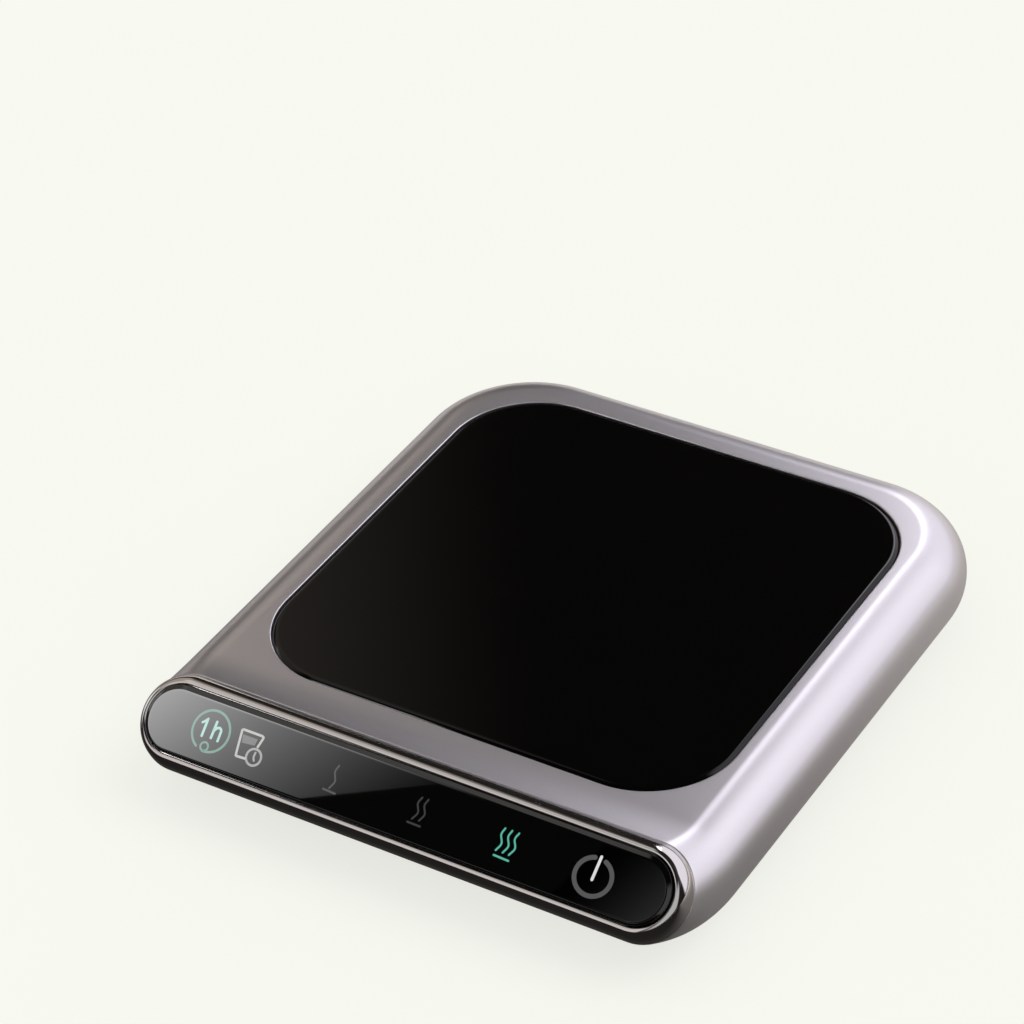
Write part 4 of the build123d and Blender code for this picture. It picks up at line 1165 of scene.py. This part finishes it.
# Softboxes hung round the warmer, seen only in its gloss. Each is the compass direction of its middle in
# degrees (0 behind, 90 to the right), half its width, its lower and upper edge above the table, the
# softness of its edges, its brightness and its colour.
SOFTBOXES = (
    (26, 42, 3, 54, 8, 1.15, "#FAF6FF"),
    (-16.5, 3.7, 22, 55, 3, 3.4, "#FAF6FF"),
    (-95, 32, 52, 72, 8, 0.6, "#FFFBF8"),
    (-97, 13, -1, 24, 6, 0.95, "#FFFFFF"),
    (-150, 26, -25, 32, 6, 0.8, "#FFF8F6"),
    (142, 34, 8, 58, 12, 0.6, "#FFFFFF"),
    (-76, 36.5, 18, 56, 13, 0.44, "#FFF0E2"),
)
TENT_GLOW = (0.02, "#FFF4EC")
CLOTH_GLOW = (0.17, 0.97, "#FFF6F0")  # brightness beside the warmer, far behind, and colour
CLOTH_RISE = (-0.095, 0.3)  # from where to where the table pales, along its depth
CLOTH_SHADE = (-0.074, -0.045, 0.12)  # where the shade before the nose ends, and what it leaves
TENT_RADIUS = 1500
CLOTH_RADIUS = 1200
CLOTH_HEIGHT = 0.4
FLOOR_HALF = 6000

# The two strip lights that the lens mirrors hang in one plane: its middle and its two directions in mm.
# Each strip has its corners, the direction its tone changes in, from where to where, and both tones.
STRIP_MIDDLE = Vector((-226.2, -304.7, 300.6))
STRIP_ACROSS = Vector((0.7709, -0.6369, 0.0))
STRIP_UP = Vector((0.4276, 0.5176, 0.7411))
STRIPS = (
    (((-22.4, -56.1), (53.2, 52.4), (-35, 100), (-110, -10)), (0.892, -0.131), (-31.3, 34.7), (0.68, 0.08)),
    (((86, 25), (125, 25), (125, 85), (86, 85)), (1, 0), (86, 125), (0.0, 0.295)),
)
STRIP_STRENGTH = 13.0
TONE_POWER = 2.4  # from an even step in tone to the light that shows it

PAPER_CLOUD = 60  # size of the paper's lighter patches
PAPER_EVENNESS = 0.78
DAYLIGHT = 0.82
SUN = (0.8, math.radians(40))  # strength and spread
SUN_PLACE = Vector((0.6, 0.3, 0.9))


def end_in_glow(material, shade):
    """Ends a card's nodes in a glow of the given colour."""
    tree = material.node_tree
    glow = add_node(tree, "ShaderNodeEmission", {"Color": shade, "Strength": 1.0})
    add_node(tree, "ShaderNodeOutputMaterial", {"Surface": glow.outputs["Emission"]})
    return material


def tent_material():
    """The dim tent and the softboxes in it."""
    material, tree, place = new_material("softbox_tent")
    heading = add_node(tree, "ShaderNodeVectorMath", {0: place}, operation="NORMALIZE").outputs[0]
    upward = add_node(tree, "ShaderNodeSeparateXYZ", {0: heading}).outputs[2]
    rise = add_node(tree, "ShaderNodeMath", {0: upward}, operation="ARCSINE").outputs[0]
    dim = (part * TENT_GLOW[0] for part in linear(TENT_GLOW[1]))
    total = add_node(tree, "ShaderNodeCombineXYZ", enumerate(dim)).outputs[0]
    for middle, half, low, high, soft, strength, code in SOFTBOXES:
        turned = add_node(
            tree, "ShaderNodeVectorRotate", {"Vector": heading, "Angle": math.radians(middle)},
            rotation_type="Z_AXIS",
        )
        parts = add_node(tree, "ShaderNodeSeparateXYZ", {0: turned.outputs[0]}).outputs
        angle = add_node(tree, "ShaderNodeMath", {0: parts[0], 1: parts[1]}, operation="ARCTAN2")
        side = add_node(tree, "ShaderNodeMath", {0: angle.outputs[0]}, operation="ABSOLUTE").outputs[0]
        edges = []
        for value, dark, bright in (
            (side, half + soft / 2, half - soft / 2),
            (rise, low - soft / 2, low + soft / 2),
            (rise, high + soft / 2, high - soft / 2),
        ):
            edges.append(add_node(
                tree, "ShaderNodeMapRange",
                {"Value": value, "From Min": math.radians(dark), "From Max": math.radians(bright)},
                interpolation_type="SMOOTHSTEP",
            ).outputs["Result"])
        amount = edges[0]
        for part in (*edges[1:], strength):
            amount = add_node(tree, "ShaderNodeMath", {0: amount, 1: part}, operation="MULTIPLY").outputs[0]
        light = add_node(tree, "ShaderNodeVectorMath", {0: linear(code), 3: amount}, operation="SCALE")
        both = add_node(tree, "ShaderNodeVectorMath", {0: total, 1: light.outputs[0]}, operation="ADD")
        total = both.outputs[0]
    return end_in_glow(material, total)


def cloth_material():
    """The table as the warmer mirrors it: dark before its nose, pale far behind it."""
    near, far, code = CLOTH_GLOW
    material, tree, place = new_material("table_cloth")
    depth = add_node(tree, "ShaderNodeSeparateXYZ", {0: place}).outputs[1]
    shade, pale = (
        add_node(
            tree, "ShaderNodeMapRange",
            {"Value": depth, "From Min": start, "From Max": end, "To Min": low, "To Max": high},
            interpolation_type="SMOOTHSTEP",
        ).outputs["Result"]
        for start, end, low, high in ((*CLOTH_SHADE, 1.0), (*CLOTH_RISE, near, far))
    )
    amount = add_node(tree, "ShaderNodeMath", {0: shade, 1: pale}, operation="MULTIPLY").outputs[0]
    light = add_node(tree, "ShaderNodeVectorMath", {0: linear(code), 3: amount}, operation="SCALE")
    return end_in_glow(material, light.outputs[0])


def strip_material(name, fall, reach, tones):
    """A strip light's fall-off, from its bright end to its dim one."""
    material, tree, place = new_material(name)
    slope = (fall[0] * STRIP_ACROSS + fall[1] * STRIP_UP) / MM
    offset = -slope.dot(STRIP_MIDDLE) * MM
    along = add_node(tree, "ShaderNodeVectorMath", {0: place, 1: slope}, operation="DOT_PRODUCT")
    along = add_node(tree, "ShaderNodeMath", {0: along.outputs["Value"], 1: offset}, operation="ADD")
    tone = add_node(tree, "ShaderNodeMapRange", {
        "Value": along.outputs[0], "From Min": reach[0], "From Max": reach[1],
        "To Min": tones[0], "To Max": tones[1],
    })
    amount = tone.outputs["Result"]
    for operation, part in (("POWER", TONE_POWER), ("MULTIPLY", STRIP_STRENGTH)):
        amount = add_node(tree, "ShaderNodeMath", {0: amount, 1: part}, operation=operation).outputs[0]
    light = add_node(tree, "ShaderNodeVectorMath", {0: linear("#FFFFFF"), 3: amount}, operation="SCALE")
    return end_in_glow(material, light.outputs[0])


def sweep_material(settings):
    """Pale paper under and behind the warmer: most of what the camera sees of it is an even white."""
    material, tree, place = new_material("pale_paper_sweep")
    cloud = add_node(tree, "ShaderNodeTexNoise", {"Vector": place, "Scale": 1 / (PAPER_CLOUD * MM)})
    tone = add_node(
        tree, "ShaderNodeMix",
        {0: cloud.outputs["Fac"], 6: painted(settings.paper), 7: painted(settings.paper_cloud)},
        data_type="RGBA",
    )
    paper = add_node(tree, "ShaderNodeBsdfDiffuse", {"Color": tone.outputs[2]})
    even = add_node(tree, "ShaderNodeEmission", {"Color": tone.outputs[2], "Strength": 1.0})
    seen = add_node(tree, "ShaderNodeLightPath").outputs["Is Camera Ray"]
    share = add_node(tree, "ShaderNodeMath", {0: seen, 1: PAPER_EVENNESS}, operation="MULTIPLY")
    mixed = add_node(
        tree, "ShaderNodeMixShader", {0: share.outputs[0], 1: paper.outputs[0], 2: even.outputs[0]}
    )
    add_node(tree, "ShaderNodeOutputMaterial", {"Surface": mixed.outputs[0]})
    return material


def hang_card(form, name, material):
    """A card of the studio that only gloss can see."""
    card = form.make(name, material)
    card.visible_camera = False
    card.visible_diffuse = False
    card.visible_shadow = False
    material.cycles.emission_sampling = "NONE"


class WARMER_OT_stage(bpy.types.Operator):
    """Lays the floor, hangs the light and sets up the camera"""

    bl_idname = "mug_warmer.stage"
    bl_label = "Studio"

    def execute(self, context):
        scene = context.scene
        scene.view_settings.view_transform = "Standard"
        camera = bpy.data.objects.new("camera", bpy.data.cameras.new("camera"))
        scene.collection.objects.link(camera)
        camera.data.lens = CAMERA_LENS
        camera.data.sensor_width = 36
        axes = Matrix((CAMERA_RIGHT, CAMERA_UP, CAMERA_BACK)).transposed().to_4x4()
        camera.matrix_world = Matrix.Translation(CAMERA_PLACE) @ axes
        camera.data.clip_start = 0.01
        scene.camera = camera
        floor = Form()
        edges = (-FLOOR_HALF, FLOOR_HALF)
        floor.rows([[(x, y, 0) for x in edges] for y in edges], around=False)
        floor.make("floor", sweep_material(scene.warmer_stage))
        tent = Form().turned([
            (math.cos(math.radians(rise)) * TENT_RADIUS, math.sin(math.radians(rise)) * TENT_RADIUS)
            for rise in spread(-88, 88, 22)
        ])
        hang_card(tent, "softbox_tent", tent_material())
        cloth = Form()
        cloth.cap([(x, y, CLOTH_HEIGHT) for x, y in circle_outline(CLOTH_RADIUS)])
        hang_card(cloth, "table_cloth", cloth_material())
        for name, (corners, fall, reach, tones) in zip(("strip_light", "end_light"), STRIPS):
            strip = Form()
            strip.cap([STRIP_MIDDLE + a * STRIP_ACROSS + b * STRIP_UP for a, b in corners])
            hang_card(strip, name, strip_material(name, fall, reach, tones))
        world = bpy.data.worlds.new("studio")
        world.use_nodes = True
        sky = world.node_tree.nodes["Background"].inputs
        sky["Color"].default_value = painted(scene.warmer_stage.paper)
        sky["Strength"].default_value = DAYLIGHT
        scene.world = world
        lamp = bpy.data.objects.new("key", bpy.data.lights.new("key", "SUN"))
        lamp.data.energy, lamp.data.angle = SUN
        lamp.data.specular_factor = 0.0
        turn = SUN_PLACE.to_track_quat("Z", "Y").to_matrix().to_4x4()
        lamp.matrix_world = Matrix.Translation(SUN_PLACE) @ turn
        scene.collection.objects.link(lamp)
        return {"FINISHED"}


STEPS = (
    WARMER_OT_housing, WARMER_OT_base, WARMER_OT_ring, WARMER_OT_lens, WARMER_OT_symbols, WARMER_OT_glass,
    WARMER_OT_springs, WARMER_OT_finishes, WARMER_OT_stage,
)


class WARMER_PT_panel(bpy.types.Panel):
    """Sizes, colours and building steps of the mug warmer"""

    bl_label = "Mug Warmer"
    bl_idname = "WARMER_PT_panel"
    bl_space_type = "VIEW_3D"
    bl_region_type = "UI"
    bl_category = "Mug Warmer"

    def draw(self, context):
        for group, cls in SETTINGS.items():
            box = self.layout.box()
            for name in cls.__annotations__:
                box.prop(getattr(context.scene, group), name)
        for step in STEPS:
            self.layout.operator(step.bl_idname)


CLASSES = (*SETTINGS.values(), *STEPS, WARMER_PT_panel)


def register():
    for cls in CLASSES:
        bpy.utils.register_class(cls)
    for group, cls in SETTINGS.items():
        setattr(bpy.types.Scene, group, bpy.props.PointerProperty(type=cls))


def unregister():
    for group in SETTINGS:
        delattr(bpy.types.Scene, group)
    for cls in reversed(CLASSES):
        bpy.utils.unregister_class(cls)


def main():
    register()
    for step in STEPS:
        group, name = step.bl_idname.split(".")
        getattr(getattr(bpy.ops, group), name)()


if __name__ == "__main__":
    main()
